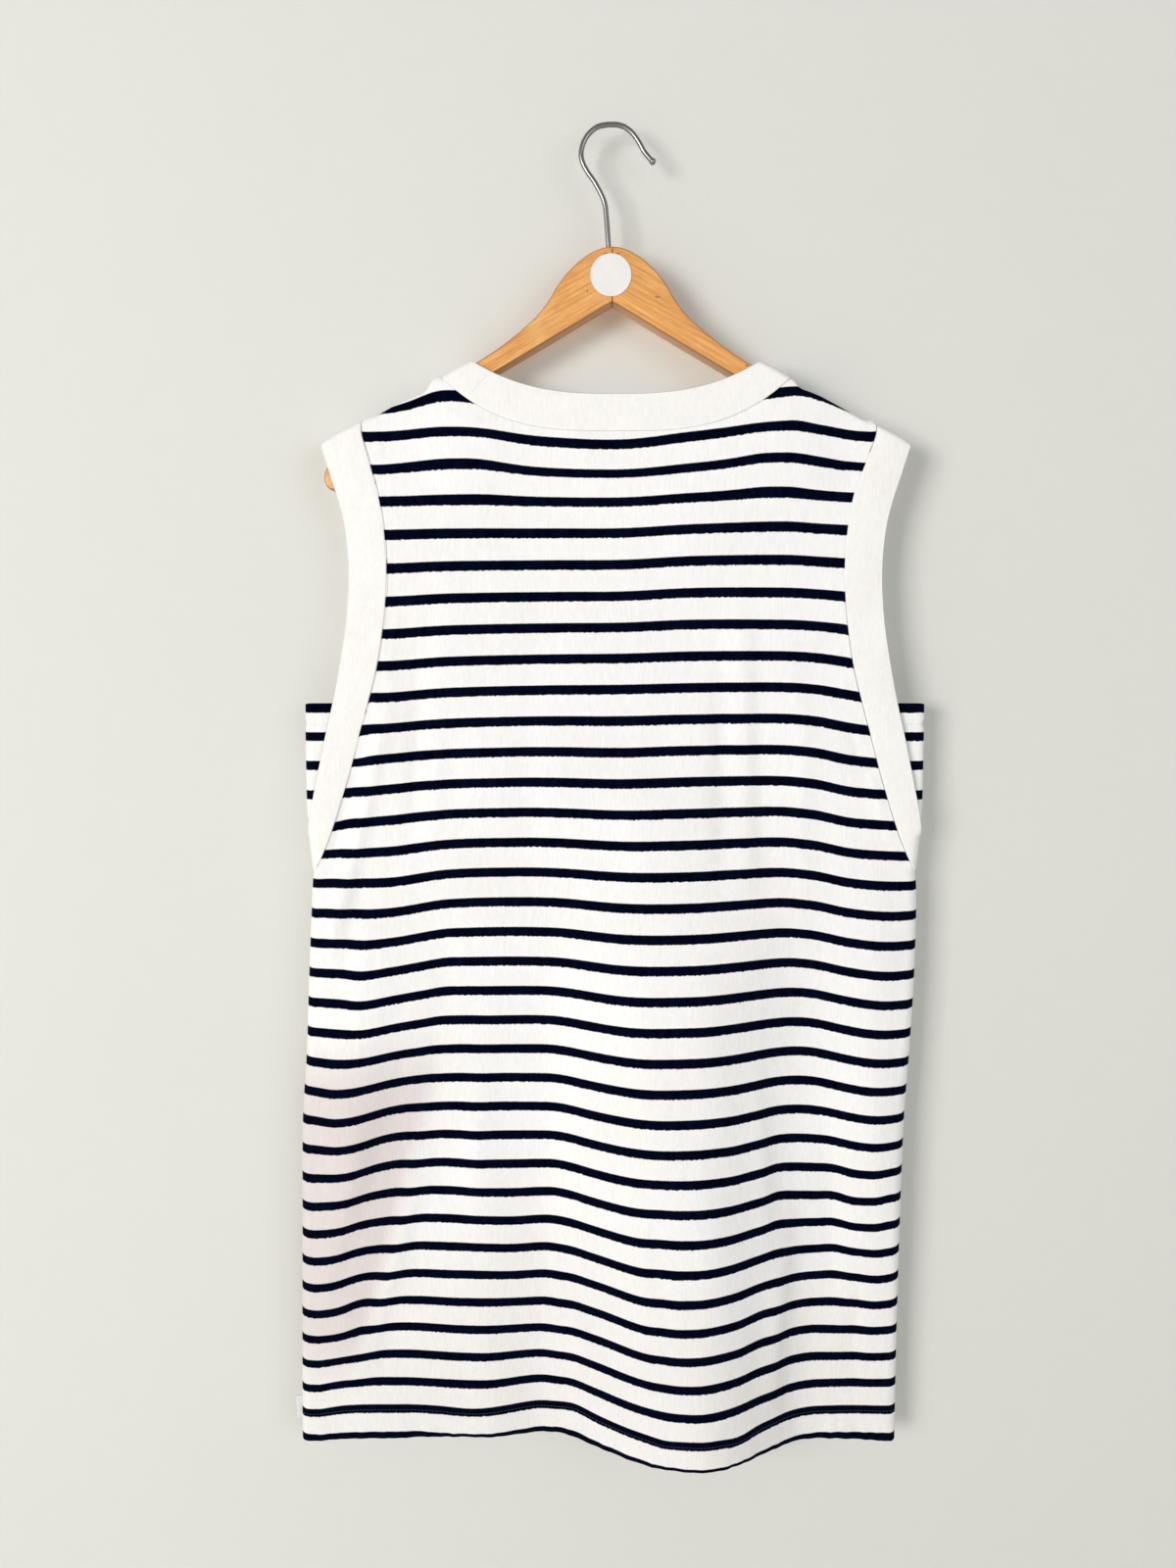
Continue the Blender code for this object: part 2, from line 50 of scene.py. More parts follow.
# Sizes of the dress, as in the CAD
DRESS_SHIFT = 3.0
SHOULDER_TIP = 195.5
NECK_POINT = 134.5
BAND_CORNER = 111.5
RIDGE_TOP = -170.5
RIDGE_SLOPE = 0.525
ROLL_DROP = 5.5
UNDERARM = -570.5
HEM = -1061.5
HEM_TURN = 21.0
HEM_DROOP = 5.0
SIDE_ROUND = 9.0
NECK_SETTLE = 190.0
NECK_HOLD = 12.0
BACK_NECK = {"seam": -223.6, "edge": -195.8, "seam_power": 3.2, "edge_power": 2.75}
FRONT_NECK = {"seam": -274.0, "edge": -247.0, "seam_power": 2.5, "edge_power": 2.3}

# Edge of the body panels: height, half of the width, how far the middle has swung to +X
PANEL_EDGE = (
    (-214.6, 195.5, 0), (-226, 194.6, 0), (-249.6, 188.5, 0), (-275, 182.3, 0), (-300, 179, 0),
    (-327, 177.9, 0), (-356, 179.7, 0), (-380, 183, 0), (-406, 187.9, 0), (-431, 194.6, 0),
    (-457, 202.1, 0), (-483, 209.3, 0), (-508, 217.2, 0), (-534, 226, 0), (-555, 234.5, 0),
    (-563, 239.2, 0), (-570.5, 243.5, 0), (-580, 245, 0), (-605, 246.3, -0.4), (-660, 248, -2.2),
    (-719, 248.8, -4.8), (-777, 250.2, -8.6), (-872, 251.6, -10.4), (-967, 253.5, -11.6),
    (-1066.5, 255.5, -12.4),
)

# Free edge of an armhole band: height and half of the width
BAND_EDGE = (
    (-231.4, 227.5), (-259.5, 219.1), (-283, 212.3), (-301.4, 209.2), (-324, 207.8), (-346, 208.5),
    (-373, 211.5), (-403.5, 217), (-432, 223.1), (-460, 230), (-490, 236.8), (-518, 242.8),
    (-540, 246.3),
)
BAND_FOLD = 246.3
BAND_FOLD_TOP = -540.0
FOLD_OPENING = 0.6

# Outer fold of the panel inside each armhole: height and half of the width
INNER_PANEL_FOLD = (
    (-433, 246.8), (-500, 247.8), (-520, 247.4), (-530, 245.6), (-538, 242.8), (-546, 241.4),
    (-560, 240.6), (-598, 240.4),
)
INNER_PANEL_TOP = -433.0
INNER_PANEL_FOOT = -598.0
INNER_PANEL_TUCK = 13.0
INNER_PANEL_HEM = 17.0
INNER_PANEL_FOLD_DEPTH = 6.5
INNER_PANEL_ROUND = 6.0
INNER_PANEL_CLEAR = 2.5
INNER_PANEL_SEAM = INNER_PANEL_TOP - INNER_PANEL_HEM + 1.5

# Depth of the dress at each height: the middle plane, and how far back and front stand from it
DEPTHS = (
    (-170, 0, 12, 12), (-270, 0, 12, 12), (-330, 0, 11.5, 11.5), (-450, -1, 10.5, 10.5),
    (-572, -2, 10.5, 10), (-700, -3, 9, 9), (-900, -3, 8, 8.5), (-1066, -3, 7.5, 8.5),
)

# Large soft folds: top and foot heights, where the crest runs at each, how far it reaches to
# either side, its height at the foot, and whether it fades out again (1) or grows to the foot (0)
BACK_FOLDS = (
    (-490, -1061.5, 50, 71, 120, 106, 44, 0), (-560, -1180, 8, 12, 62, 55, 9, 1),
    (-640, -1061.5, -56, -55, 60, 40, -6.5, 0), (-575, -1040, -198, -240, 46, 46, 9, 1),
    (-575, -960, 203, 220, 42, 42, 8, 1),
)
FRONT_FOLDS = (
    (-520, -1061.5, -96, -112, 88, 74, 4, 0), (-600, -1061.5, 40, 58, 78, 82, -4, 0),
    (-560, -1061.5, 168, 176, 60, 52, 4.5, 0),
)

# Half of the hanger's outline: along the top from the middle, round the end and back
HANGER_THICK = 19.0
HANGER_ROUND = 2.0
HANGER_SHARP = 40.0
ARM_SLOPE = 0.55
ARM_JOINT = 0.12
GRAIN_ORIGIN = (-40.0, -100.0)
GRAIN_THROUGH = 0.35
HANGER_TOP = (
    (0, -87.8), (6, -88.4), (12.5, -90.6), (19, -94), (25, -98.2), (31, -103.5), (36.5, -109.5),
    (42.5, -117.5), (48.3, -127), (58, -138.7), (73, -151.5), (88, -162.5), (103, -171.8),
    (112, -176.8), (150, -199.6), (198, -227),
)
HANGER_END = (
    (211, -241), (220, -250.5), (222.3, -260), (218, -267), (209, -267),
)
HANGER_FOOT = (
    (150, -219.5), (98, -184.8), (50, -157), (6, -131.5), (0, -128.3),
)

# Hook: the middle of the wire from inside the wood to the ball
HOOK_WIRE = 4.0
HOOK_BALL = 5.2
HOOK_ROUTE = (
    (-1.4, -102), (-2.9, -83.4), (-4.5, -63.7), (-6.2, -52.8), (-13.1, -39.5), (-18.8, -31.7),
    (-22.5, -24.8), (-23.6, -18.5), (-22.1, -11.6), (-18, -4.8), (-11.5, 0.2), (-4.2, 1.9), (0, 2),
    (3.5, 1.9), (9, 0.3), (14.8, -3.9), (19.8, -10.3), (23.9, -17.2), (28, -21.9), (30.3, -24.2),
)

# Small knots, chips and nail marks in the wood: across, height, half width and half height
WOOD_MARKS = (
    (-5, -93.4, 2.3, 0.9), (4.2, -93.2, 2, 0.8), (-19, -120.3, 0.8, 1.2), (34.2, -124.6, 2.6, 0.7),
    (102.8, -174.8, 1.5, 1.1), (83.4, -178.4, 2, 1.4), (-81, -177.2, 1.7, 1.3),
)

# Care label: height of its middle, its length, and the loop that it makes over the side edge
LABEL_HEIGHT = -1038.5
LABEL_TALL = 22.0
LABEL_LOOP = ((3.0, -0.30), (0.0, -0.34), (-2.6, -0.42), (-4.6, -0.40), (-5.3, -0.22), (-5.5, 0.0))
LABEL_TAPER = 0.12
LABEL_CURL = 0.15
RIBBON = 0.22

# Cloth as it is sewn
JERSEY = 1.1
BAND_CLOTH = 2.0
SEAM_ROUND = 0.7
ARM_SEAM_ROUND = 0.45
HEM_ROUND = 1.25
STITCH_LENGTH = 2.3
STITCH_GAP = 3.1
THREAD = 0.5

# Back neck: the pressed strip of seam allowance, the puff in its middle and the two small tacks
STRIP_RISE = 0.6
STRIP_DEEP = 6.2
STRIP_MIDDLE = 6.0
STRIP_HALF = 78.0
STRIP_FADE = 12.0
PUFF_RISE = 0.7
PUFF_MIDDLE = 7.0
PUFF_WIDE = 17.0
TACK_PLACES = (-18.5, 31.5)
TACK_DEEP = 1.2
TACK_WIDE = 1.1
TACK_FOOT = 12.0

# Armhole: two low ridges of seam allowance beside the seam, each its distance and width
ARM_RIDGE = 0.35
ARM_RIDGES = ((2.2, 1.6), (9.5, 2.4))

# The panels' creases die out this near their side and top edges
CALM_SIDE = 16.0
CALM_TOP = 20.0

# Hem: its puckers from least to most, and the step and groove at its line of stitches
PUCKER_ENDS = 250.0
PUCKER_TALL = (0.4, 1.15)
PUCKER_WIDE = (2.6, 5.0)
PUCKER_LEAN = 0.18
PUCKER_APART = (9.0, 21.0)
PUCKER_FADE = 9.0
LEDGE = 0.45
STITCH_GROOVE = 0.5

# Bands: how full they stand between seam and fold, and the short seam that closes the neckband
BAND_FULLNESS = 0.55
JOIN_DEEP = 0.55
JOIN_WIDE = 0.8

# How finely the panels are cut into faces: a fine strip, then rows or columns over the rest
EDGE_STRIP, EDGE_COLUMNS = 9.0, 8
SHOULDER_COLUMNS = 29
MIDDLE_COLUMNS = 54
TOP_STRIP, TOP_ROWS = 10.0, 10
BODY_ROWS = 268
HEM_ROWS = 8
FOLD_STEPS = 8

# Stripes: the height of the stripe under the back neck, and how they follow each other down
STRIPE_FIRST = -229.4
STRIPE_STEP = 23.85
STRIPE_STEP_GROWS = 0.0215
STRIPE_DEEP = 7.5
STRIPE_BLUR = 0.22

# How far the stripes stand above their level height, at places across the dress
LIFT_PLACES = (-250, -226, -179, -131, -51, 5, 60, 131, 158, 188, 221, 250)
STRIPE_LIFTS = (
    (-196, -26, -22, -9.5, 8.5, -4, -2, 0, 11, 7.5, -9, -24, -28),
    (-219, -2, 0, 1, 5, -2.3, -3.9, 1.8, 9.6, 6.6, 1.3, 0.5, 0),
    (-241, -2, 0, 1, 5, -2.3, -3.9, 1.8, 9.6, 6.6, 1.3, 0.5, 0),
    (-277, 0, 0.7, 0.7, 1.6, 0.5, 0.4, 3.8, 6.8, 5, 3.3, 1, 0),
    (-349, -4, -3, -3.5, -1.2, 0.1, 0.5, 3.1, 3.2, 2, -1, -7.5, -8),
    (-422, -8, -6, -5.8, -2.1, -0.2, 0.3, 1.5, 2, 0.3, -4.5, -9, -10),
    (-494, -12, -10, -6, -1.9, -0.7, -1.8, -0.2, 0.6, -1.7, -7.9, -10.5, -12),
    (-592, -10, -9, -8.4, -1.2, -0.2, -2.4, -1.6, -0.1, -2.6, -8.6, -11.5, -11),
    (-690, -10, -10, -6.5, -0.3, -0.8, -2.6, -2, -0.7, -2.1, -7.3, -11.3, -11),
    (-764, -11, -11.4, -2.5, 0.8, -1.2, -1.8, -1.9, -0.3, -2, -6.5, -9.2, -9),
    (-839, -12, -7.9, 0.7, 1.2, -1.5, -0.8, -1.1, 0, -2.2, -4.1, -5.6, -2),
    (-914, -9, -4.8, 2.7, 1.5, -0.3, 0.2, -1.5, 2, 0.9, 0.8, -1.7, 3),
    (-964, -6, -1.9, 5, 2.2, 0.7, 1.6, 0, 3.5, 3.1, 2, 0.8, 3),
    (-1014, -1, 3.9, 5, 2.5, 3.8, 4, 1.4, 3.6, 3.2, 3.6, 3.6, 4),
    (-1062, 3, 4.5, 6, 3.4, 5.6, 5, 3.4, 3.8, 4.4, 5.2, 4.4, 4),
)

# Short bends of the stripes: across, height, how far they reach either way, and how much they rise
STRIPE_BENDS = (
    (-104, -236, 24, 22, 1.9), (-208, -925, 16, 75, 2.6), (-205, -665, 18, 60, -2.2),
    (-80, -860, 22, 70, -1.3), (100, -800, 16, 80, -1.3), (104, -1038, 14, 14, -3),
    (-226, -530, 12, 14, -2.4), (-206, -467, 10, 14, -3), (-216, -940, 12, 30, 1.8),
    (-30, -1035, 14, 20, 2), (42, -1035, 12, 18, -1.6), (-122, -1035, 18, 16, -1.7),
    (228, -845, 8, 34, 1.6), (198, -845, 10, 34, -1.4), (-8, -950, 22, 50, 1.2),
    (136, -860, 12, 50, 1.4), (104, -950, 12, 60, -1), (112, -245, 16, 26, 1.2),
    (190, -255, 14, 12, 1.5), (142, -205, 10, 10, 1), (110, -258, 40, 10, 0.8),
    (-96, -262, 30, 14, 1.2),
)

# The stripe that the hem's stitches follow, and the neckband's join as a share of the way to its end
SEWN_STRIPE = 33.05
NECK_JOIN = -0.845

# Stripes of the inner panels, counted down from their first
INNER_STRIPE_FIRST = -436.5
INNER_STRIPE_STEP = 22.0
INNER_STRIPE_GROWS = 0.35

# The right armhole seam leans out at the shoulder: by how much, from which height, beyond which place
TIP_LEAN = 4.5
TIP_LEAN_FROM = -275.0
TIP_LEAN_BEYOND = 140.0
TIP_LEAN_REACH = 50.0

# The shoulder's fold against its straight line: distance from the middle, and how far above it
LEFT_SHOULDER = ((134.5, 1.4), (138.0, 2.4), (141.5, 1.4), (146.0, -3.0), (152.0, -3.0), (166.0, -1.5),
                 (178.0, -1.7), (184.5, -2.2), (190.0, 0.0), (195.5, 0.2))
RIGHT_SHOULDER = ((134.5, 0.0), (136.5, -0.4), (139.5, -2.8), (142.5, -3.6), (150.0, -2.2), (158.0, -1.2),
                  (178.0, -1.3), (187.0, -1.5), (192.0, 1.4), (195.5, 0.8))

# Small creases that hanging and handling leave: start across and height, end across and height,
# width to either side, height before CREASE_STRENGTH, and how far the line bows out to its right
CREASE_STRENGTH = 1.4
BACK_CREASES = (
    (-174, -405, -238, -655, 7, 2.2, 3), (-196, -430, -250, -620, 13, -1.8, 3),
    (-200, -560, -224, -700, 8, -1.4, -3), (-141, -400, -146, -540, 7, 1.1, 3),
    (-156, -390, -166, -560, 8, -1.5, 3), (-120, -300, -132, -470, 14, 1, -4),
    (190, -440, 226, -545, 5, 1.3, -3), (186, -452, 206, -500, 5.5, -1.5, 2),
    (79, -340, 84, -610, 9, -1.7, 4), (98, -350, 104, -600, 9, 1.2, 4),
    (114, -340, 124, -600, 10, -1.5, -5), (140, -380, 150, -640, 9, 1.2, 4),
    (20, -360, 12, -600, 15, 1, 3), (-60, -340, -70, -620, 13, -1, -4),
    (-151, -750, -222, -1020, 10, 2.6, 5), (-186, -760, -240, -960, 12, -1.6, 3),
    (-100, -660, -118, -900, 13, 1.4, -4), (-130, -600, -160, -760, 9, -1.2, 3),
    (-46, -845, -50, -1075, 10, 2, 2), (144, -835, 133, -1050, 10, 2, -3),
    (176, -760, 186, -960, 10, -1.7, 2), (206, -880, 204, -1020, 9, -1.2, 0),
    (110, -700, 124, -930, 9, 1.2, 4), (36, -800, 44, -1000, 9, -1.2, -3),
)
FRONT_CREASES = (
    (-150, -400, -206, -620, 10, 1.5, -5), (162, -410, 214, -630, 9, 1.3, 5),
    (-86, -380, -92, -700, 13, -1.4, 4), (-30, -420, -22, -760, 14, 1.4, -5),
    (52, -360, 60, -640, 12, -1.2, 3), (104, -440, 112, -820, 13, 1.4, 5),
    (-168, -700, -200, -960, 11, 1.2, 4), (-60, -800, -66, -1060, 12, -1.7, -3),
    (10, -760, 16, -1040, 12, 1.7, 3), (200, -760, 214, -1020, 10, -1.7, -3),
    (140, -880, 146, -1062, 11, 1.1, 2),
)


# Curves and small shapes

def smooth_step(value):
    """0 to 1 with level ends."""
    t = np.clip(value, 0.0, 1.0)
    return t * t * (3.0 - 2.0 * t)


def smooth_curve(places, values, at):
    """Values between rising places, on a smooth curve through them."""
    places, values = np.asarray(places, float), np.asarray(values, float)
    last = len(places) - 1
    at = np.clip(at, places[0], places[-1])
    low = np.clip(np.searchsorted(places, at, side="right") - 1, 0, last - 1)
    before, after = np.maximum(low - 1, 0), np.minimum(low + 2, last)
    if values.ndim > 1:
        pick = np.indices(at.shape)
        start, end = values[(low, *pick)], values[(low + 1, *pick)]
        first, final = values[(before, *pick)], values[(after, *pick)]
    else:
        start, end = values[low], values[low + 1]
        first, final = values[before], values[after]
    span = places[low + 1] - places[low]
    t = (at - places[low]) / span
    leave = (end - first) / (places[low + 1] - places[before]) * span
    arrive = (final - start) / (places[after] - places[low]) * span
    return (
        (2 * t**3 - 3 * t**2 + 1) * start
        + (t**3 - 2 * t**2 + t) * leave
        + (3 * t**2 - 2 * t**3) * end
        + (t**3 - t**2) * arrive
    )


def read_rows(rows, height, column):
    """One column of a table at given heights, on a smooth curve through its rows."""
    table = np.array(rows)[::-1]
    return smooth_curve(table[:, 0], table[:, column], np.asarray(height, float))


def ridge(across):
    """Height of the fold along the top of the shoulders."""
    return RIDGE_TOP - RIDGE_SLOPE * (np.abs(across) - BAND_CORNER)


def neck_height(across, neck, which):
    """Height of the neck seam or of the neckband's free edge."""
    reach = NECK_POINT if which == "seam" else BAND_CORNER
    share = np.minimum(np.abs(across) / reach, 1.0) ** neck[which + "_power"]
    return neck[which] + (ridge(reach) - neck[which]) * share


def outer_limit(height):
    """Half width at which back and front meet in a fold."""
    opening = BAND_FOLD + FOLD_OPENING * (height - BAND_FOLD_TOP)
    t = (BAND_FOLD_TOP - height) / (BAND_FOLD_TOP - UNDERARM)
    closing = BAND_FOLD + (read_rows(PANEL_EDGE, UNDERARM, 1) - BAND_FOLD) * t
    side = read_rows(PANEL_EDGE, height, 1)
    return np.where(height > BAND_FOLD_TOP, opening, np.where(height > UNDERARM, closing, side))


def rounded(distance, radius):
    """Quarter of an ellipse: 0 on the fold, 1 from one radius away."""
    t = np.clip(distance / radius, 0.0, 1.0)
    return np.sqrt(1.0 - (1.0 - t) ** 2)


def hump(distance, width):
    """A soft bump of height 1."""
    return np.exp(-((distance / width) ** 2))


def fold_relief(folds, across, height):
    """How far the large folds push the cloth out."""
    total = np.zeros_like(across)
    for top, foot, x_top, x_foot, left, right, tall, fades in folds:
        t = np.clip((top - height) / (top - foot), 0.0, 1.0)
        crest = x_top + (x_foot - x_top) * t
        side = np.clip(np.abs(across - crest) / np.where(across < crest, left, right), 0.0, 1.0)
        growth = np.sin(math.pi * t) if fades else np.sin(0.5 * math.pi * t) ** 0.8
        total += tall * growth * 0.5 * (1.0 + np.cos(math.pi * side))
    return total


def crease_relief(creases, across, height):
    """How far the small creases push the cloth out. Each fades at both ends."""
    total = np.zeros_like(across)
    for x_start, z_start, x_end, z_end, width, tall, bow in creases:
        run, drop = x_end - x_start, z_end - z_start
        length = math.hypot(run, drop)
        t = np.clip(((across - x_start) * run + (height - z_start) * drop) / length**2, 0.0, 1.0)
        off = ((across - x_start) * drop - (height - z_start) * run) / length
        off = off + bow * 4.0 * t * (1.0 - t)
        total += tall * np.sin(math.pi * t) ** 0.8 * hump(off, width)
    return total


def unevenness(across, height, seed):
    """The slow swell of cloth that was never ironed quite flat, about half a millimetre."""
    rng = np.random.default_rng(seed)
    total = np.zeros_like(across)
    for _ in range(9):
        angle = rng.uniform(-0.5, 0.5)
        wave = rng.uniform(38.0, 120.0)
        phase = rng.uniform(0.0, 2.0 * math.pi)
        along = across * math.cos(angle) + height * math.sin(angle)
        total += 0.16 * np.sin(2.0 * math.pi * along / wave + phase)
    return total


def surface(across, height, side, folds=(), add=0.0):
    """A point on the outside of the dress. side is -1 on the back and 1 on the front."""
    middle = read_rows(DEPTHS, height, 1)
    depth = read_rows(DEPTHS, height, 2 if side < 0 else 3) + add
    depth = depth + fold_relief(folds, across, height)
    centre = read_rows(PANEL_EDGE, height, 2)
    roll = rounded(ridge(across - centre) - height, ROLL_DROP)
    turn = rounded(outer_limit(height) - np.abs(across - centre), SIDE_ROUND)
    return np.stack([across, middle + side * depth * roll * turn, height + 0.0 * across], axis=-1)


def unit(vectors):
    return vectors / np.maximum(np.linalg.norm(vectors, axis=-1, keepdims=True), 1e-9)


def lengths_along(line):
    """Distance of each point of a line from its first."""
    return np.concatenate([[0.0], np.cumsum(np.linalg.norm(np.diff(line, axis=0), axis=1))])


def grid_normals(grid, closed=False):
    """Normals of a grid of points, on the side from which down and across turn leftwards."""
    down = np.gradient(grid, axis=0)
    if closed:
        across = np.roll(grid, -1, axis=1) - np.roll(grid, 1, axis=1)
    else:
        across = np.gradient(grid, axis=1)
    return unit(np.cross(down, across))


def from_edge(span, count):
    """Distances from an edge that grow as they leave it."""
    return span * (np.arange(count) / (count - 1)) ** 2


# Meshes

def grid_faces(rows, columns, closed=False):
    """Four-sided faces between the neighbours of a grid that is stored row by row."""
    r = np.arange(rows - 1)[:, None]
    c = np.arange(columns if closed else columns - 1)[None, :]
    right = (c + 1) % columns
    corners = (r * columns + c, (r + 1) * columns + c, (r + 1) * columns + right, r * columns + right)
    return np.stack([corner.ravel() for corner in corners], axis=1)


def link_object(name, data):
    obj = bpy.data.objects.new(name, data)
    bpy.context.scene.collection.objects.link(obj)
    return obj


def set_map(mesh, name, places):
    """Gives each point its place on the cloth or in the grain."""
    corner = np.empty(len(mesh.loops), int)
    mesh.loops.foreach_get("vertex_index", corner)
    layer = mesh.uv_layers.new(name=name)
    layer.data.foreach_set("uv", np.asarray(places, float)[corner].ravel())


def add_object(name, points, faces, material, cloth_map=None):
    """A smooth mesh object from points in millimetres."""
    mesh = bpy.data.meshes.new(name)
    mesh.from_pydata((np.asarray(points) * MM).tolist(), [], [[int(i) for i in face] for face in faces])
    mesh.materials.append(material)
    if cloth_map is not None:
        set_map(mesh, "cloth", cloth_map)
    mesh.shade_smooth()
    return link_object(name, mesh)


def cloth_object(name, grid, cloth_map, material, thickness, closed=False, flip=False):
    """A sheet of cloth through a grid of points on its outside, thickened inwards."""
    if flip:
        grid, cloth_map = grid[:, ::-1], cloth_map[:, ::-1]
    points = grid.reshape(-1, 3) + (DRESS_SHIFT, 0.0, 0.0)
    faces = grid_faces(grid.shape[0], grid.shape[1], closed)
    obj = add_object(name, points, faces, material, cloth_map.reshape(-1, 2))
    wall = obj.modifiers.new("thickness", "SOLIDIFY")
    wall.thickness = thickness * MM
    wall.offset = -1.0
    return obj


def stand_in_for(obj, node):
    """Ties a piece to the body, and hides the CAD node that it replaces, if any."""
    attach(obj, "root")
    if node:
        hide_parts(node)


# Stripes

def stripe_number(across, height):
    """Which stripe a point of the body panels lies on: whole numbers are the middles of stripes."""
    table = np.array(STRIPE_LIFTS)[::-1]
    flat_across, flat_height = across.ravel(), height.ravel()
    columns = [smooth_curve(table[:, 0], table[:, i + 1], flat_height) for i in range(len(LIFT_PLACES))]
    lift = smooth_curve(LIFT_PLACES, np.array(columns), flat_across).reshape(across.shape)
    for x, z, wide, tall, rise in STRIPE_BENDS:
        lift = lift + rise * hump(across - x, wide) * hump(height - z, tall)
    below = STRIPE_FIRST - (height - lift)
    inside = STRIPE_STEP**2 + 4.0 * STRIPE_STEP_GROWS * below
    return (np.sqrt(inside) - STRIPE_STEP) / (2.0 * STRIPE_STEP_GROWS)


# Body panels

def panel_columns():
    """Places across the panel's top edge, closer together at the side edges and the neck point."""
    edge = SHOULDER_TIP - from_edge(EDGE_STRIP, EDGE_COLUMNS)
    shoulder = np.linspace(SHOULDER_TIP - EDGE_STRIP, NECK_POINT, SHOULDER_COLUMNS)[1:]
    middle = np.linspace(NECK_POINT, 0.0, MIDDLE_COLUMNS)[1:]
    half = np.concatenate([edge, shoulder, middle])
    return np.concatenate([-half, half[-2::-1]])


def panel_heights():
    """Heights down the panel's side edge, closer together at the top."""
    top = PANEL_EDGE[0][0]
    first = top - from_edge(TOP_STRIP, TOP_ROWS)
    rest = np.linspace(top - TOP_STRIP, HEM + HEM_TURN, BODY_ROWS)[1:]
    hem = np.linspace(HEM + HEM_TURN, HEM + HEM_ROUND, HEM_ROWS)[1:]
    return np.concatenate([first, rest, hem])


def across_at(top_across, half):
    """Where the columns run at a height of this half width."""
    inside = SHOULDER_TIP - np.abs(top_across)
    shoulder = SHOULDER_TIP - NECK_POINT
    middle = np.abs(top_across) * (half - shoulder) / NECK_POINT
    return np.sign(top_across) * np.where(inside < shoulder, half - inside, middle)


def shoulder_lift(top_across):
    """The shoulder's fold sags between the bands, with a puff beside the neck and a nub at the armhole."""
    total = np.zeros_like(top_across)
    for hand, rows in ((-1.0, LEFT_SHOULDER), (1.0, RIGHT_SHOULDER)):
        places, lifts = np.array(rows).T
        here = hand * top_across
        total += smooth_curve(places, lifts, here) * (here > NECK_POINT - 0.5)
    return total


def tip_shift(across, height):
    """The right armhole seam leans out a little over its last centimetres."""
    beyond = smooth_step((across - TIP_LEAN_BEYOND) / TIP_LEAN_REACH)
    return TIP_LEAN * smooth_step((height - TIP_LEAN_FROM) / TIP_LEAN_REACH) * beyond


def panel_sheet(side, neck):
    """The panel's points before its creases, and each point's distance below its top edge."""
    columns, heights = panel_columns(), panel_heights()
    is_neck = np.abs(columns) < NECK_POINT - 0.01
    top = np.where(is_neck, neck_height(columns, neck, "seam"), ridge(columns))
    drops = top - heights[0]
    settle = neck["seam"] - NECK_SETTLE
    fade = smooth_step((heights - settle) / (heights[0] - NECK_HOLD - settle))[:, None]
    lowered = HEM_DROOP * np.maximum(0.0, (UNDERARM - heights) / (UNDERARM - HEM))[:, None]
    level = heights[:, None] - lowered * (np.abs(columns) / SHOULDER_TIP)[None, :] ** 4
    half = read_rows(PANEL_EDGE, level, 1)
    height = level + drops[None, :] * fade
    centre = read_rows(PANEL_EDGE, height, 2)
    across = across_at(columns[None, :], half) + centre
    to_side = half - np.abs(across - centre)
    below_top = top[None, :] - height
    shift = tip_shift(across, height)
    height = height - RIDGE_SLOPE * shift * hump(below_top, 9.0)
    grid = surface(across + shift, height, side, BACK_FOLDS if side < 0 else FRONT_FOLDS)
    grid[..., 2] += shoulder_lift(columns)[None, :] * hump(below_top, 7.0)
    return grid, to_side, below_top, is_neck


def seam_dip(distance, radius=SEAM_ROUND):
    """Cloth rolls down into a seam over its last millimetre."""
    return radius * (1.0 - rounded(distance, radius))


def back_neck_details(across, below_seam):
    """The pressed seam allowance under the back neck and the two small tacks that hold it."""
    strip = STRIP_RISE * smooth_step((STRIP_DEEP - below_seam) / 0.7)
    strip = strip * smooth_step((STRIP_HALF - np.abs(across - STRIP_MIDDLE)) / STRIP_FADE)
    puff = PUFF_RISE * hump(across - PUFF_MIDDLE, PUFF_WIDE) * hump(below_seam - 8.0, 6.5)
    reach = smooth_step((TACK_FOOT - below_seam) / 4.0)
    tacks = sum(-TACK_DEEP * hump(across - place, TACK_WIDE) * reach for place in TACK_PLACES)
    return strip + puff + tacks


def hem_puckers(across, above_hem, seed):
    """Short soft puckers that the hem's stitches draw up, unevenly spaced."""
    rng = np.random.default_rng(seed)
    total = np.zeros_like(across)
    place = -PUCKER_ENDS
    while place < PUCKER_ENDS:
        tall = rng.uniform(*PUCKER_TALL)
        width = rng.uniform(*PUCKER_WIDE)
        lean = rng.uniform(-PUCKER_LEAN, PUCKER_LEAN)
        total += tall * hump(across - place - lean * above_hem, width)
        place += rng.uniform(*PUCKER_APART)
    reach = smooth_step((HEM_TURN + PUCKER_FADE - above_hem) / 10.0)
    stitched = 0.35 + 0.65 * np.abs(np.cos(0.5 * math.pi * np.clip(above_hem / HEM_TURN, 0.0, 1.0)))
    return (total - 0.45) * reach * stitched


def hem_ledge(number):
    """The turned hem is a layer thicker, and the stitches along its stripe pull a fine groove."""
    below_stitches = (number - SEWN_STRIPE) * STRIPE_STEP
    return LEDGE * smooth_step((below_stitches + 2.6) / 1.6) - STITCH_GROOVE * hump(below_stitches, 1.2)


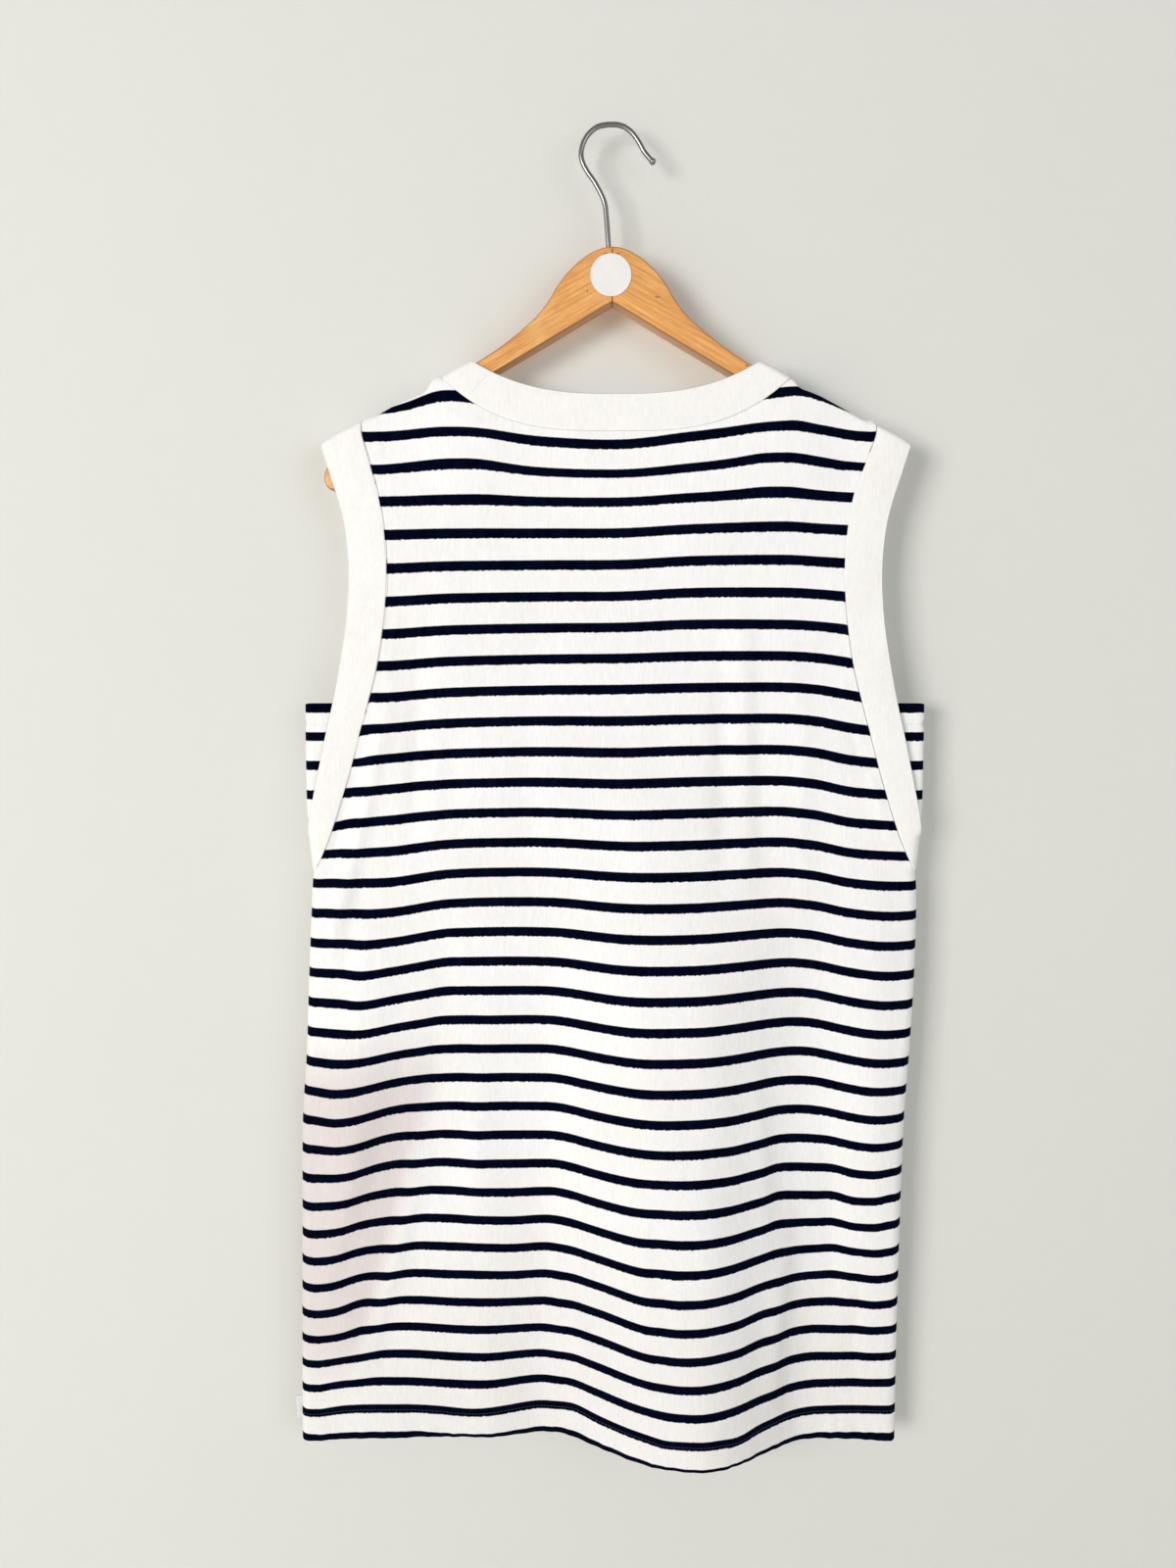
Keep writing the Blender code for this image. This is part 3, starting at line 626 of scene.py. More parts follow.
def panel_relief(grid, side, to_side, below_top, is_neck, number):
    """How far creases, seams and the sewn hem stand from the smooth sheet."""
    across, height = grid[..., 0], grid[..., 2]
    creases = BACK_CREASES if side < 0 else FRONT_CREASES
    seed = 4 if side < 0 else 9
    swell = CREASE_STRENGTH * crease_relief(creases, across, height) + unevenness(across, height, seed)
    relief = swell * (rounded(to_side, CALM_SIDE) * rounded(below_top, CALM_TOP))
    relief = relief - seam_dip(below_top) * is_neck[None, :]
    armhole = smooth_step((height - UNDERARM) / 6.0)
    relief = relief - seam_dip(to_side, ARM_SEAM_ROUND) * armhole
    ridges = sum(hump(to_side - distance, width) for distance, width in ARM_RIDGES)
    relief = relief + ARM_RIDGE * ridges * armhole
    if side < 0:
        relief = relief + back_neck_details(across, below_top) * is_neck[None, :]
    lowest = HEM - HEM_DROOP * (np.abs(across) / 250.0) ** 4
    above_hem = height - lowest
    hem = hem_puckers(across, above_hem, seed + 1) + hem_ledge(number)
    relief = relief + hem * rounded(to_side, 10.0)
    return relief


def edge_normals(normal, is_neck):
    """Normals that lie in the fold's own plane where back and front meet."""
    normal = normal.copy()
    normal[:, 0] = (-1.0, 0.0, 0.0)
    normal[:, -1] = (1.0, 0.0, 0.0)
    normal[0, ~is_neck, 1] = 0.0
    return unit(normal)


def with_turned_hem(grid, normal, stripes):
    """Adds the hem's fold and its inner layer below the last row."""
    rows, maps = [grid], [stripes]
    last, out = grid[-1], normal[-1]
    bottom_stripe = stripes[-1, :, 1] + HEM_ROUND / STRIPE_STEP
    for angle in np.linspace(0.0, math.pi, FOLD_STEPS)[1:]:
        point = last - out * HEM_ROUND * (1.0 - math.cos(angle))
        point[:, 2] -= HEM_ROUND * math.sin(angle)
        rows.append(point[None])
        passed = stripes[-1].copy()
        passed[:, 1] += 2.0 * (bottom_stripe - stripes[-1, :, 1]) * angle / math.pi
        maps.append(passed[None])
    above = grid[..., 2].mean(axis=1) - (HEM + HEM_TURN - 3.0)
    first = int(np.argmax(above < 0.0))
    for row in range(len(grid) - 2, first - 1, -1):
        rows.append((grid[row] - normal[row] * 2.0 * HEM_ROUND)[None])
        turned = stripes[row].copy()
        turned[:, 1] = 2.0 * bottom_stripe - stripes[row, :, 1]
        maps.append(turned[None])
    return np.concatenate(rows), np.concatenate(maps)


def make_panel(name, node, side, neck, material):
    """Back or front panel. Returns its outside, its normals and its stripe numbers for the stitches."""
    grid, to_side, below_top, is_neck = panel_sheet(side, neck)
    across, height = grid[..., 0], grid[..., 2]
    number = stripe_number(across, height)
    stripes = np.stack([across * MM, number], axis=-1)
    normal = edge_normals(-side * grid_normals(grid), is_neck)
    relief = panel_relief(grid, side, to_side, below_top, is_neck, number)
    grid = grid + normal * relief[..., None]
    normal = edge_normals(-side * grid_normals(grid), is_neck)
    whole, stripes = with_turned_hem(grid, normal, stripes)
    obj = cloth_object(name, whole, stripes, material, JERSEY, flip=side > 0)
    stand_in_for(obj, node)
    return grid, normal, number


# Bands

def band_shares():
    """Shares of the way across a band, closer together at both edges."""
    edge = from_edge(0.16, 6)
    return np.concatenate([edge, np.linspace(0.16, 0.84, 12)[1:-1], 1.0 - edge[::-1]])


def band_object(name, node, starts, ends, sides, material, flip=False, groove=None):
    """A doubled band: across it from the seam, round its folded free edge and back inside."""
    shares = band_shares()
    outer = np.empty((len(shares), len(starts), 3))
    for side in (-1, 1):
        pick = sides == side
        start, end = starts[pick], ends[pick]
        points = start[None] + (end - start)[None] * shares[:, None, None]
        outer[:, pick] = surface(points[..., 0], points[..., 1], side, add=BAND_CLOTH - 1.2)
    normal = grid_normals(outer, closed=True)
    if flip:
        normal = -normal
    inward = outer[0] - outer[-1]
    width = np.linalg.norm(inward, axis=-1)
    inward = inward / width[:, None]
    around = lengths_along(outer[-1])
    bulge = np.sin(math.pi * shares[:, None])
    crown = BAND_FULLNESS * bulge ** 0.7 - seam_dip(shares[:, None] * width[None, :])
    ripple = 0.22 * np.sin(around / 9.0) * np.sin(around / 23.0 + 1.0) + 0.2 * np.sin(around / 31.0)
    crown = crown + ripple[None, :] * bulge
    if groove is not None:
        off_join = outer[..., 0] - groove(outer[..., 2])
        crown = crown - JOIN_DEEP * hump(off_join, JOIN_WIDE) * (outer[..., 1] < 0.0)
    inner = outer - normal * (BAND_CLOTH - 0.2 + 0.3 * crown)[..., None]
    outer = outer + normal * crown[..., None]
    top, foot = outer[-1] + inward * 0.9, inner[-1] + inward * 0.9
    middle, reach = 0.5 * (top + foot), 0.5 * (top - foot)
    radius = np.linalg.norm(reach, axis=-1)[:, None]
    outer[-1], inner[-1] = top, foot
    angles = np.linspace(0.0, math.pi, FOLD_STEPS)[1:-1]
    turn = [middle + reach * math.cos(a) - inward * radius * math.sin(a) for a in angles]
    section = np.concatenate([outer, np.array(turn), inner[::-1]])
    along = np.broadcast_to(around[None, :], section.shape[:2])
    depth = np.concatenate([shares, np.ones(len(turn)), shares[::-1]])[:, None] * width[None, :]
    cloth_map = np.stack([along * MM, depth * MM], axis=-1)
    section = np.swapaxes(section, 0, 1)
    cloth_map = np.swapaxes(cloth_map, 0, 1)
    rows, columns = section.shape[:2]
    r = np.arange(rows)[:, None]
    c = np.arange(columns)[None, :]
    below, right = (r + 1) % rows, (c + 1) % columns
    corners = [r * columns + c, r * columns + right, below * columns + right, below * columns + c]
    if flip:
        corners = corners[::-1]
    faces = np.stack([corner.ravel() for corner in corners], axis=1)
    points = section.reshape(-1, 3) + (DRESS_SHIFT, 0.0, 0.0)
    obj = add_object(name, points, faces, material, cloth_map.reshape(-1, 2))
    stand_in_for(obj, node)
    return obj


def even_ends(steps):
    """Shares from 0 to 1, closer together near both ends."""
    return 0.5 - 0.5 * np.cos(math.pi * np.arange(steps + 1) / steps)


def make_neckband(material):
    shares = 2.0 * even_ends(110) - 1.0
    starts, ends, sides = [], [], []
    near_join = NECK_JOIN + np.array([-2.4, -1.2, -0.6, 0.0, 0.6, 1.2, 2.4]) / NECK_POINT
    at_back = np.sort(np.append(shares, near_join))
    for side, neck, places in ((-1, BACK_NECK, at_back), (1, FRONT_NECK, shares[-2:0:-1])):
        seam, edge = places * NECK_POINT, places * BAND_CORNER
        starts.append(np.stack([seam, neck_height(seam, neck, "seam")], axis=1))
        ends.append(np.stack([edge, neck_height(edge, neck, "edge")], axis=1))
        sides.append(np.full(len(places), side))

    join_seam, join_edge = NECK_JOIN * NECK_POINT, NECK_JOIN * BAND_CORNER
    low, high = neck_height(join_seam, BACK_NECK, "seam"), neck_height(join_edge, BACK_NECK, "edge")

    def join_line(height):
        """The short seam that closes the band, near the left shoulder."""
        return join_seam + (height - low) / (high - low) * (join_edge - join_seam)

    band_object(
        "neckband_loop", "neckband", np.concatenate(starts), np.concatenate(ends), np.concatenate(sides),
        material, flip=True, groove=join_line,
    )


def seam_point(height):
    """The armhole seam, a hair off the panel's edge."""
    half = read_rows(PANEL_EDGE, height, 1)
    return half + 0.1, height


def make_armhole_band(hand, word, material):
    shares = even_ends(120)
    top_seam, top_edge = PANEL_EDGE[0][0], BAND_EDGE[0][0]
    starts, ends, sides = [], [], []
    for side, places in ((-1, shares), (1, shares[-2:0:-1])):
        half, height = seam_point(top_seam + (UNDERARM - top_seam) * places)
        height = np.where(places == 0.0, ridge(half), height)
        if hand > 0:
            shift = tip_shift(half, height)
            height = height - RIDGE_SLOPE * shift * hump(ridge(half) - height, 9.0)
            half = half + shift
        edge_height = top_edge + (BAND_FOLD_TOP - top_edge) * places
        edge_half = read_rows(BAND_EDGE, edge_height, 1)
        starts.append(np.stack([hand * half, height], axis=1))
        ends.append(np.stack([hand * edge_half, edge_height], axis=1))
        sides.append(np.full(len(places), side))
    band_object(
        "armhole_band_loop_" + word, "armhole_band_" + word, np.concatenate(starts), np.concatenate(ends),
        np.concatenate(sides), material, flip=hand > 0,
    )


# Panels inside the armholes

def inner_section(share, height, side):
    """share runs from the tucked edge (0) to the outer fold (1)."""
    fold = read_rows(INNER_PANEL_FOLD, height, 1)
    tuck = read_rows(PANEL_EDGE, height, 1) - INNER_PANEL_TUCK
    across = tuck + (fold - tuck) * share
    middle = read_rows(DEPTHS, height, 1)
    depth = read_rows(DEPTHS, height, 2 if side < 0 else 3)
    near_dress = depth - INNER_PANEL_CLEAR
    blend = smooth_step((share - 0.25) / 0.6)
    depth = near_dress + (INNER_PANEL_FOLD_DEPTH - near_dress) * blend
    pucker = hump(height - INNER_PANEL_SEAM, 2.2)
    notch = 1.1 * pucker * smooth_step((share - 0.7) / 0.3)
    across = across - notch + 0.35 * np.sin(height / 5.3) * share
    turn = rounded(fold - notch - across, INNER_PANEL_ROUND)
    return across, middle + side * (depth - 0.5 * pucker) * turn, height


def make_inner_panel(hand, word, material):
    """Folded at the dress's side, with a turned top hem. It shows through the armhole."""
    shares = 1.0 - from_edge(1.0, 22)[::-1]
    top, foot = INNER_PANEL_TOP - HEM_ROUND, INNER_PANEL_FOOT
    heights = np.linspace(top, foot, 78)
    half_rows = []
    for side, places in ((-1, shares), (1, shares[-2::-1])):
        height = np.broadcast_to(heights[:, None], (len(heights), len(places)))
        across, depth, height = inner_section(places[None, :], height, side)
        half_rows.append(np.stack([hand * across, depth, height], axis=-1))
    grid = np.concatenate(half_rows, axis=1)
    normal = grid_normals(grid) * (1.0 if hand > 0 else -1.0)
    stripes = inner_stripes(grid)
    turned = heights > INNER_PANEL_TOP - INNER_PANEL_HEM
    turned_rows = np.flatnonzero(turned)[::-1]
    rows = [grid[row] - normal[row] * 2.0 * HEM_ROUND for row in turned_rows]
    maps = [np.stack([stripes[row, :, 0], -stripes[row, :, 1]], axis=-1) for row in turned_rows]
    for angle in np.linspace(math.pi, 0.0, FOLD_STEPS)[1:-1]:
        point = grid[0] - normal[0] * HEM_ROUND * (1.0 - math.cos(angle))
        point[:, 2] += HEM_ROUND * math.sin(angle)
        rows.append(point)
        maps.append(stripes[0])
    whole = np.concatenate([np.array(rows), grid])
    stripes = np.concatenate([np.array(maps), stripes])
    obj = cloth_object("inner_panel_fold_" + word, whole, stripes, material, JERSEY, flip=hand < 0)
    stand_in_for(obj, "inner_panel_" + word)
    return grid, normal


def inner_stripes(grid):
    """Each point's place across the inner panel and its stripe number."""
    below = INNER_STRIPE_FIRST - grid[..., 2]
    inside = INNER_STRIPE_STEP**2 + 4.0 * INNER_STRIPE_GROWS * np.maximum(below, -6.0)
    number = (np.sqrt(inside) - INNER_STRIPE_STEP) / (2.0 * INNER_STRIPE_GROWS)
    return np.stack([(grid[..., 0] + 3.0 * grid[..., 1]) * MM, number], axis=-1)


# Hanger

def smooth_route(route, spacing):
    """Evenly spread points on a smooth curve through the route's own points."""
    points = np.array(route, float)
    at = lengths_along(points)
    dense = np.linspace(0.0, at[-1], max(int(at[-1] / spacing), 2))
    return np.stack([smooth_curve(at, points[:, k], dense) for k in range(points.shape[1])], axis=1)


def half_outline():
    """Outline of one arm, with its corners kept where the wood has them."""
    top = smooth_route(HANGER_TOP, 3.0)
    end = smooth_route((HANGER_TOP[-1],) + HANGER_END, 2.0)
    foot = smooth_route((HANGER_END[-1],) + HANGER_FOOT[:-1], 5.0)
    middle = np.array([HANGER_FOOT[-1]])
    return np.concatenate([top, end[1:], foot[1:], middle])


def make_yoke(material):
    """Two arms glued in the middle, with a fine joint line between them."""
    outline = half_outline()
    ahead, behind = np.roll(outline, -1, axis=0), np.roll(outline, 1, axis=0)
    run = ahead - behind
    run[0], run[-1] = (1.0, 0.0), (-1.0, 0.0)
    run = unit(run)
    inward = np.stack([run[:, 1], -run[:, 0]], axis=1)
    rings = []
    for angle in np.linspace(0.0, 0.5 * math.pi, FOLD_STEPS):
        rings.append((HANGER_ROUND * (1.0 - math.sin(angle)), HANGER_ROUND * (1.0 - math.cos(angle))))
    count = len(outline)
    layers = [(inset, -0.5 * HANGER_THICK + back) for inset, back in rings]
    layers += [(inset, 0.5 * HANGER_THICK - back) for inset, back in reversed(rings)]
    points, faces, grain = [], [], []
    for hand in (1.0, -1.0):
        base = len(points)
        for inset, depth in layers:
            line = outline + inward * inset
            line[0], line[-1] = outline[0] + (0.0, -inset), outline[-1] + (0.0, inset)
            for x, z in line:
                points.append((hand * max(x, ARM_JOINT), depth, z))
        order = 1 if hand > 0 else -1
        for k in range(len(layers) - 1):
            near, far = base + k * count, base + (k + 1) * count
            for i in range(count):
                j = (i + 1) % count
                quad = (near + i, near + j, far + j, far + i)
                faces.append(quad[::order])
        last = base + (len(layers) - 1) * count
        faces.append([base + i for i in range(count)][::-order])
        faces.append([last + i for i in range(count)][::order])
    arm = math.atan(ARM_SLOPE)
    for x, y, z in points:
        side = 1.0 if x > 0.0 else -1.0
        above = z - GRAIN_ORIGIN[1]
        along = abs(x) * math.cos(arm) - above * math.sin(arm)
        across = abs(x) * math.sin(arm) + above * math.cos(arm)
        grain.append((side * (along - GRAIN_ORIGIN[0]), across + GRAIN_THROUGH * y))
    mesh = bpy.data.meshes.new("hanger_yoke")
    mesh.from_pydata((np.array(points) * MM).tolist(), [], faces)
    set_map(mesh, "grain", np.array(grain) * MM)
    mesh.materials.append(material)
    bm = bmesh.new()
    bm.from_mesh(mesh)
    bmesh.ops.recalc_face_normals(bm, faces=bm.faces)
    bm.to_mesh(mesh)
    bm.free()
    mesh.shade_smooth()
    mesh.set_sharp_from_angle(angle=math.radians(HANGER_SHARP))
    obj = link_object("hanger_yoke", mesh)
    stand_in_for(obj, "hanger_wood")
    return obj


def make_hook(material):
    """Round steel wire with a small ball on its tip."""
    line = smooth_route(HOOK_ROUTE, 1.1)
    tangent = unit(np.gradient(line, axis=0))
    sides = 16
    points = []
    for (x, z), (run, rise) in zip(line, tangent):
        for k in range(sides):
            angle = 2.0 * math.pi * k / sides
            out, forward = 0.5 * HOOK_WIRE * math.cos(angle), 0.5 * HOOK_WIRE * math.sin(angle)
            points.append((x + rise * out, forward, z - run * out))
    faces = grid_faces(len(line), sides, closed=True).tolist()
    faces.append(list(range(sides)))
    obj = add_object("hook_wire", points, faces, material)
    bm = bmesh.new()
    bm.from_mesh(obj.data)
    ball = bmesh.ops.create_uvsphere(bm, u_segments=24, v_segments=16, radius=0.5 * HOOK_BALL * MM)
    bmesh.ops.translate(bm, verts=ball["verts"], vec=(line[-1][0] * MM, 0.0, line[-1][1] * MM))
    bmesh.ops.recalc_face_normals(bm, faces=bm.faces)
    bm.to_mesh(obj.data)
    bm.free()
    obj.data.shade_smooth()
    stand_in_for(obj, "hanger_hook")
    return obj


# Small sewn things

def capsules(name, places, runs, outs, length, radius, material):
    """Many short threads as one mesh: each lies along its run, half sunk below its out direction."""
    around, shares = 6, ((-0.5, 0.15), (-0.42, 0.8), (-0.2, 1.0), (0.2, 1.0), (0.42, 0.8), (0.5, 0.15))
    points, faces = [], []
    for place, run, out in zip(places, runs, outs):
        side = np.cross(run, out)
        base = len(points)
        for along, size in shares:
            lift = 0.35 * radius * (1.0 - (2.0 * along) ** 2)
            for k in range(around):
                angle = 2.0 * math.pi * k / around
                ring = size * radius * (math.cos(angle) * side + math.sin(angle) * out)
                points.append(place + run * along * length + ring + out * lift)
        faces += (grid_faces(len(shares), around, closed=True) + base).tolist()
        faces.append([base + k for k in range(around)])
        faces.append([base + (len(shares) - 1) * around + k for k in reversed(range(around))])
    return add_object(name, points, faces, material)


def stitches_along(line, outs, gap):
    """Places, directions and outward normals of stitches a gap apart along a line of points."""
    at = lengths_along(line)
    stops = np.arange(0.5 * gap, at[-1], gap)
    places = np.stack([np.interp(stops, at, line[:, k]) for k in range(3)], axis=1)
    normals = np.stack([np.interp(stops, at, outs[:, k]) for k in range(3)], axis=1)
    runs = np.stack([np.interp(stops, at, np.gradient(line[:, k])) for k in range(3)], axis=1)
    return places, unit(runs), unit(normals)


def sew(name, line, outs, material):
    """A row of stitches on the cloth along a line of points."""
    places, runs, outs = stitches_along(line + (DRESS_SHIFT, 0.0, 0.0), outs, STITCH_GAP)
    obj = capsules(name, places, runs, outs, STITCH_LENGTH, 0.5 * THREAD, material)
    stand_in_for(obj, None)


def make_hem_stitches(word, grid, normal, number, material):
    """The hem is sewn with navy thread along its lowest whole stripe."""
    line, outs = [], []
    for column in range(3, grid.shape[1] - 3):
        line.append([np.interp(SEWN_STRIPE, number[:, column], grid[:, column, k]) for k in range(3)])
        outs.append([np.interp(SEWN_STRIPE, number[:, column], normal[:, column, k]) for k in range(3)])
    sew("hem_stitches_" + word, np.array(line), np.array(outs), material)


def make_inner_stitches(word, grid, normal, material):
    """A row of white stitches along the inner panel's turned top hem."""
    row = int(np.argmin(np.abs(grid[..., 2].mean(axis=1) - INNER_PANEL_SEAM)))
    sew("inner_hem_stitches_" + word, grid[row], normal[row], material)


def make_label(material):
    """A blank ribbon, folded in two and caught in the left side seam."""
    height = LABEL_HEIGHT
    edge = read_rows(PANEL_EDGE, height, 2) - read_rows(PANEL_EDGE, height, 1)
    middle = read_rows(DEPTHS, height, 1)
    path = list(LABEL_LOOP) + [(x, -y) for x, y in LABEL_LOOP[-2::-1]]
    length = LABEL_LOOP[0][0] - LABEL_LOOP[-1][0]
    rows = []
    for share in np.linspace(0.0, 1.0, 12):
        z = height + LABEL_TALL * (0.5 - share)
        curl = LABEL_CURL * math.sin(5.0 * share) / length
        narrow = 1.0 - LABEL_TAPER * share
        rows.append([(edge + x * narrow, middle + y + curl * (LABEL_LOOP[0][0] - x), z) for x, y in path])
    grid = np.array(rows)
    cloth_map = np.stack([grid[..., 0] * MM, grid[..., 2] * MM], axis=-1)
    obj = cloth_object("care_ribbon", grid, cloth_map, material, RIBBON)
    stand_in_for(obj, "side_label")


# Materials

def start_material(name, roughness, **constants):
    """A Principled material. constants are set on the shader's own sockets."""
    material = bpy.data.materials.new(name)
    material.use_nodes = True
    shader = material.node_tree.nodes["Principled BSDF"]
    shader.inputs["Roughness"].default_value = roughness
    for socket, value in constants.items():
        shader.inputs[socket.replace("_", " ")].default_value = value
    return material, material.node_tree, shader


def add_node(tree, kind, inputs=(), **settings):
    node = tree.nodes.new(kind)
    for name, value in settings.items():
        setattr(node, name, value)
    for socket, value in dict(inputs).items():
        if isinstance(value, bpy.types.NodeSocket):
            tree.links.new(value, node.inputs[socket])
        else:
            node.inputs[socket].default_value = value
    return node


def coordinates(tree, kind):
    return add_node(tree, "ShaderNodeTexCoord").outputs[kind]


def maths(tree, operation, first, second=0.0, third=0.0):
    node = add_node(tree, "ShaderNodeMath", {0: first, 1: second, 2: third}, operation=operation)
    return node.outputs[0]


def noise(tree, vector, scale, detail=2.0, roughness=0.5):
    inputs = {"Vector": vector, "Scale": scale, "Detail": detail, "Roughness": roughness}
    return add_node(tree, "ShaderNodeTexNoise", inputs).outputs["Fac"]


def stretched(tree, vector, scale):
    node = add_node(tree, "ShaderNodeMapping", {"Vector": vector, "Scale": scale})
    return node.outputs["Vector"]


def remap(tree, value, low, high, to_low=0.0, to_high=1.0, kind="LINEAR"):
    inputs = {"Value": value, "From Min": low, "From Max": high, "To Min": to_low, "To Max": to_high}
    return add_node(tree, "ShaderNodeMapRange", inputs, interpolation_type=kind).outputs["Result"]


def soft_remap(tree, value, low, high, to_low=0.0, to_high=1.0):
    return remap(tree, value, low, high, to_low, to_high, "SMOOTHSTEP")


def blend(tree, share, first, second, mode="MIX"):
    node = tree.nodes.new("ShaderNodeMix")
    node.data_type = "RGBA"
    node.blend_type = mode
    for socket, value in ((0, share), (6, first), (7, second)):
        if isinstance(value, bpy.types.NodeSocket):
            tree.links.new(value, node.inputs[socket])
        elif socket == 0:
            node.inputs[socket].default_value = value
        else:
            node.inputs[socket].default_value = (*value, 1.0)
    return node.outputs[2]


def set_input(tree, shader, socket, value):
    tree.links.new(value, shader.inputs[socket])


def add_bump(tree, shader, height, strength, distance):
    """Fine relief in metres, seen in the shading only."""
    bump = add_node(tree, "ShaderNodeBump", {"Height": height, "Strength": strength, "Distance": distance})
    set_input(tree, shader, "Normal", bump.outputs["Normal"])


def knit_texture(tree, place):
    """Fine uneven wales that run down the cloth, with a soft felted nap over them."""
    wales = noise(tree, stretched(tree, place, (1.0, 1.0, 0.22)), 620.0, 3.0, 0.6)
    nap = noise(tree, place, 1500.0, 2.0, 0.6)
    slubs = noise(tree, stretched(tree, place, (1.0, 1.0, 0.3)), 210.0, 3.0, 0.6)
    return wales, nap, slubs


def finish_cloth(tree, shader, colour, wales, nap, slubs):
    """The knit's tone with painted shade in the grooves between its wales, its relief and its uneven
    roughness.
    """
    # Painted shade: the wales darken where their relief sinks, in the grooves between them
    wale_groove_shade = remap(tree, wales, 0.25, 0.75, -0.045, 0.045)
    tone = maths(tree, "ADD", wale_groove_shade, remap(tree, slubs, 0.3, 0.7, 0.98, 1.012))
    shade = add_node(tree, "ShaderNodeCombineColor", {0: tone, 1: tone, 2: tone}).outputs[0]
    coloured = blend(tree, 1.0, colour, shade, "MULTIPLY")
    set_input(tree, shader, "Base Color", coloured)
    height = maths(tree, "MULTIPLY_ADD", wales, 0.7, maths(tree, "MULTIPLY", nap, 0.5))
    height = maths(tree, "MULTIPLY_ADD", slubs, 0.3, height)
    add_bump(tree, shader, height, 0.55, 0.00022)
    rough = remap(tree, nap, 0.2, 0.8, 0.8, 0.95)
    set_input(tree, shader, "Roughness", rough)


CLOTH_SHEEN = {"Sheen_Weight": 0.004, "Sheen_Roughness": 0.5, "Specular_IOR_Level": 0.02}
WHITE = (0.90, 0.89, 0.875)
WHITE_AGED = (0.865, 0.845, 0.825)
# Painted shade: the darker pinkish grey that the white is pulled towards beside the long crease and low on
# the skirt
PAINTED_SHADE_WHITE = (0.72, 0.665, 0.645)
NAVY = (0.0001, 0.0006, 0.0065)
NAVY_FADED = (0.0008, 0.003, 0.014)
BAND_WHITE = (0.905, 0.89, 0.865)
BAND_WARM = (0.87, 0.845, 0.81)

# The long crease at the lower left: distance beside it in metres, as shares of X and Z and an offset
LONG_CREASE = (-0.966, 0.259, 0.0575)


def painted_shade_beside_crease(tree, place):
    """Painted shade, a pinkish grey, on the cloth beside the long crease at the lower left."""
    axes = add_node(tree, "ShaderNodeSeparateXYZ", {0: place})
    x_share, z_share, offset = LONG_CREASE
    beside = maths(tree, "MULTIPLY_ADD", axes.outputs["X"], x_share, offset)
    beside = maths(tree, "MULTIPLY_ADD", axes.outputs["Z"], z_share, beside)
    across = soft_remap(tree, beside, -0.006, 0.016)
    begins = soft_remap(tree, axes.outputs["Z"], -0.69, -0.76)
    ends = soft_remap(tree, axes.outputs["Z"], -1.03, -0.96, 0.35, 1.0)
    return maths(tree, "MULTIPLY", across, maths(tree, "MULTIPLY", begins, ends))


def painted_shade_low_skirt(tree, place):
    """Painted shade, with a warm tint of light bounced from the floor: the lower skirt darkens towards the
    bottom.
    """
    height = add_node(tree, "ShaderNodeSeparateXYZ", {0: place}).outputs["Z"]
    return soft_remap(tree, height, -0.80, -1.03, 0.0, 0.30)


def striped_jersey():
    """White with navy stripes. The cloth map's second number counts them, so they follow the cloth."""
    material, tree, shader = start_material("striped jersey", 0.88, **CLOTH_SHEEN)
    place = coordinates(tree, "Object")
    cloth = add_node(tree, "ShaderNodeUVMap", uv_map="cloth").outputs["UV"]
    number = add_node(tree, "ShaderNodeSeparateXYZ", {0: cloth}).outputs["Y"]
    wales, nap, slubs = knit_texture(tree, place)

    shifted = maths(tree, "ADD", number, 200.5)
    from_middle = maths(tree, "SUBTRACT", maths(tree, "FRACT", shifted), 0.5)
    beside = maths(tree, "MULTIPLY", from_middle, STRIPE_STEP)
    frayed = noise(tree, stretched(tree, place, (1.0, 1.0, 0.35)), 560.0, 2.0, 0.65)
    lower = maths(tree, "MULTIPLY_ADD", remap(tree, frayed, 0.3, 0.7, -0.5, 0.5), 0.9, beside)
    furry = maths(tree, "MULTIPLY", remap(tree, nap, 0.3, 0.7, -0.5, 0.5), 0.4)
    upper = maths(tree, "SUBTRACT", furry, beside)
    farther = maths(tree, "MAXIMUM", lower, upper)
    inked = remap(tree, farther, 0.5 * STRIPE_DEEP + STRIPE_BLUR, 0.5 * STRIPE_DEEP - STRIPE_BLUR)

    cloudy = noise(tree, place, 9.0, 3.0, 0.55)
    white = blend(tree, remap(tree, cloudy, 0.35, 0.75), WHITE, WHITE_AGED)
    # Painted shade beside the long crease and low on the skirt
    painted_shade = maths(tree, "MAXIMUM", painted_shade_beside_crease(tree, place), painted_shade_low_skirt(tree, place))
    white = blend(tree, painted_shade, white, PAINTED_SHADE_WHITE)
    navy = blend(tree, remap(tree, slubs, 0.35, 0.75), NAVY, NAVY_FADED)
    finish_cloth(tree, shader, blend(tree, inked, white, navy), wales, nap, slubs)
    return material


def band_jersey():
    material, tree, shader = start_material("off-white band jersey", 0.88, **CLOTH_SHEEN)
    place = coordinates(tree, "Object")
    wales, nap, slubs = knit_texture(tree, place)
    cloudy = noise(tree, place, 14.0, 3.0, 0.55)
    white = blend(tree, remap(tree, cloudy, 0.3, 0.75), BAND_WHITE, BAND_WARM)
    finish_cloth(tree, shader, white, wales, nap, slubs)
    return material


def thread_material(name, colour, worn):
    material, tree, shader = start_material(name, 0.6, Sheen_Weight=0.1)
    place = coordinates(tree, "Object")
    strands = noise(tree, place, 2600.0, 2.0)
    set_input(tree, shader, "Base Color", blend(tree, strands, colour, worn))
    add_bump(tree, shader, strands, 0.5, 0.0001)
    return material


